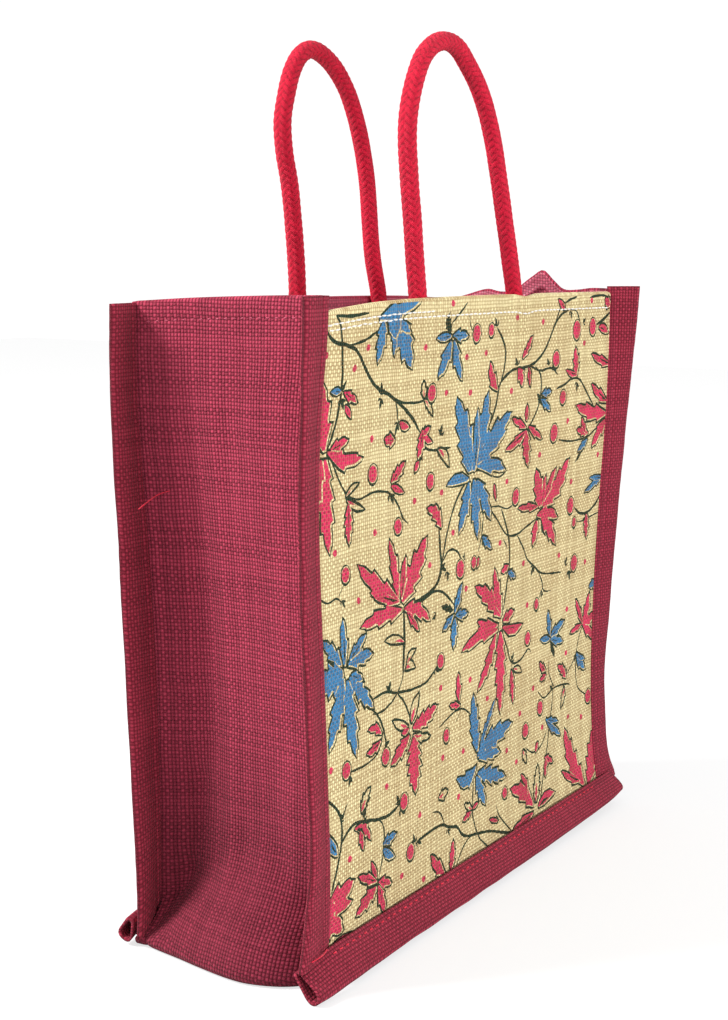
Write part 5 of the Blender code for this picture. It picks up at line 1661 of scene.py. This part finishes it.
class BAG_OT_handles(bpy.types.Operator):
    """Make the two braided rope handles"""
    bl_idname = "bag.handles"
    bl_label = "Rope handles"

    def execute(self, context):
        sizes = context.scene.bag_sizes
        handles = (("front", FRONT_HANDLE, front_y, 1), ("back", BACK_HANDLE, back_y, -1))
        for name, rows, panel_y, side in handles:
            start_clean()
            finishes = [finish_named("red rope")]
            rope, length = braided_rope(f"{name}_braided_rope", rows, panel_y, side, finishes, sizes)
            on_bag(rope, "cotton_rope", "handle_" + name)
            print(name, "rope", round(length, 3))
        return {"FINISHED"}


class BAG_OT_loose_threads(bpy.types.Operator):
    """Add the loose thread ends at the seams"""
    bl_idname = "bag.loose_threads"
    bl_label = "Loose threads"

    def execute(self, context):
        start_clean()
        for name, path, finish, thick in LOOSE_THREADS:
            points = [Vector(p) * MM for p in path]
            on_bag(thread_tail(name, points, finish_named(finish), thick * MM), "maroon_burlap")
        return {"FINISHED"}


class BAG_OT_stage(bpy.types.Operator):
    """Set up the floor, the soft light and the camera"""
    bl_idname = "bag.stage"
    bl_label = "Stage"

    def execute(self, context):
        scene = context.scene
        start_clean()
        bpy.ops.mesh.primitive_plane_add(size=FLOOR_SIZE, location=(0, 0, 0))
        floor = context.active_object
        floor.name = "floor"
        floor.data.materials.append(finish_named("pale paper"))
        scene.view_settings.view_transform = "Standard"
        world = bpy.data.worlds.new("soft daylight")
        scene.world = world
        world.use_nodes = True
        w = Wiring(world.node_tree)
        seen = w.put("ShaderNodeLightPath").outputs["Is Camera Ray"]
        strength = w.calc("MULTIPLY_ADD", seen, 0.30, 0.75)
        sky = w.put("ShaderNodeBackground", {"Color": (1.0, 1.0, 1.0), "Strength": strength})
        w.join(sky.outputs[0], w.put("ShaderNodeOutputWorld").inputs[0])
        for name, place, aim, wide, power in STUDIO_LIGHTS:
            lamp = bpy.data.lights.new(name, "AREA")
            lamp.shape, lamp.size, lamp.energy = "SQUARE", wide, power
            holder = bpy.data.objects.new(name, lamp)
            holder.location = place
            holder.rotation_euler = (Vector(aim) - Vector(place)).to_track_quat("-Z", "Y").to_euler()
            scene.collection.objects.link(holder)
        camera = bpy.data.cameras.new("camera")
        camera.sensor_width, camera.sensor_fit = 36.0, "AUTO"
        camera.lens = FOCAL_PIXELS * 36 / PICTURE_HEIGHT
        camera.clip_start, camera.clip_end = 0.01, 50
        eye = bpy.data.objects.new("camera", camera)
        eye.matrix_world = (Matrix.Translation(CAMERA_PLACE)
                            @ Matrix.Rotation(math.radians(CAMERA_TURN), 4, "Z")
                            @ Matrix.Rotation(math.radians(90 - CAMERA_DOWN), 4, "X")
                            @ Matrix.Rotation(math.radians(CAMERA_ROLL), 4, "Z"))
        scene.collection.objects.link(eye)
        scene.camera = eye
        return {"FINISHED"}


class BAG_PT_panel(bpy.types.Panel):
    """Build the bag piece by piece"""
    bl_idname = "BAG_PT_panel"
    bl_label = "Burlap bag"
    bl_space_type = "VIEW_3D"
    bl_region_type = "UI"
    bl_category = "Bag"

    def draw(self, context):
        layout = self.layout
        for group_name, owner in (("Sizes", context.scene.bag_sizes), ("Colours", context.scene.bag_colours)):
            box = layout.box()
            box.label(text=group_name)
            for key in owner.__annotations__:
                box.prop(owner, key)
        for operator in OPERATORS:
            layout.operator(operator.bl_idname)


OPERATORS = (BAG_OT_gusset, BAG_OT_front, BAG_OT_back, BAG_OT_bindings, BAG_OT_base_bindings, BAG_OT_handles,
             BAG_OT_loose_threads, BAG_OT_stage)
CLASSES = (BagSizes, BagColours, *OPERATORS, BAG_PT_panel)


def register():
    for part in CLASSES:
        bpy.utils.register_class(part)
    bpy.types.Scene.bag_sizes = bpy.props.PointerProperty(type=BagSizes)
    bpy.types.Scene.bag_colours = bpy.props.PointerProperty(type=BagColours)


def unregister():
    del bpy.types.Scene.bag_sizes
    del bpy.types.Scene.bag_colours
    for part in reversed(CLASSES):
        bpy.utils.unregister_class(part)


def main():
    register()
    for operator in OPERATORS:
        family, action = operator.bl_idname.split(".")
        getattr(getattr(bpy.ops, family), action)()


if __name__ == "__main__":
    main()
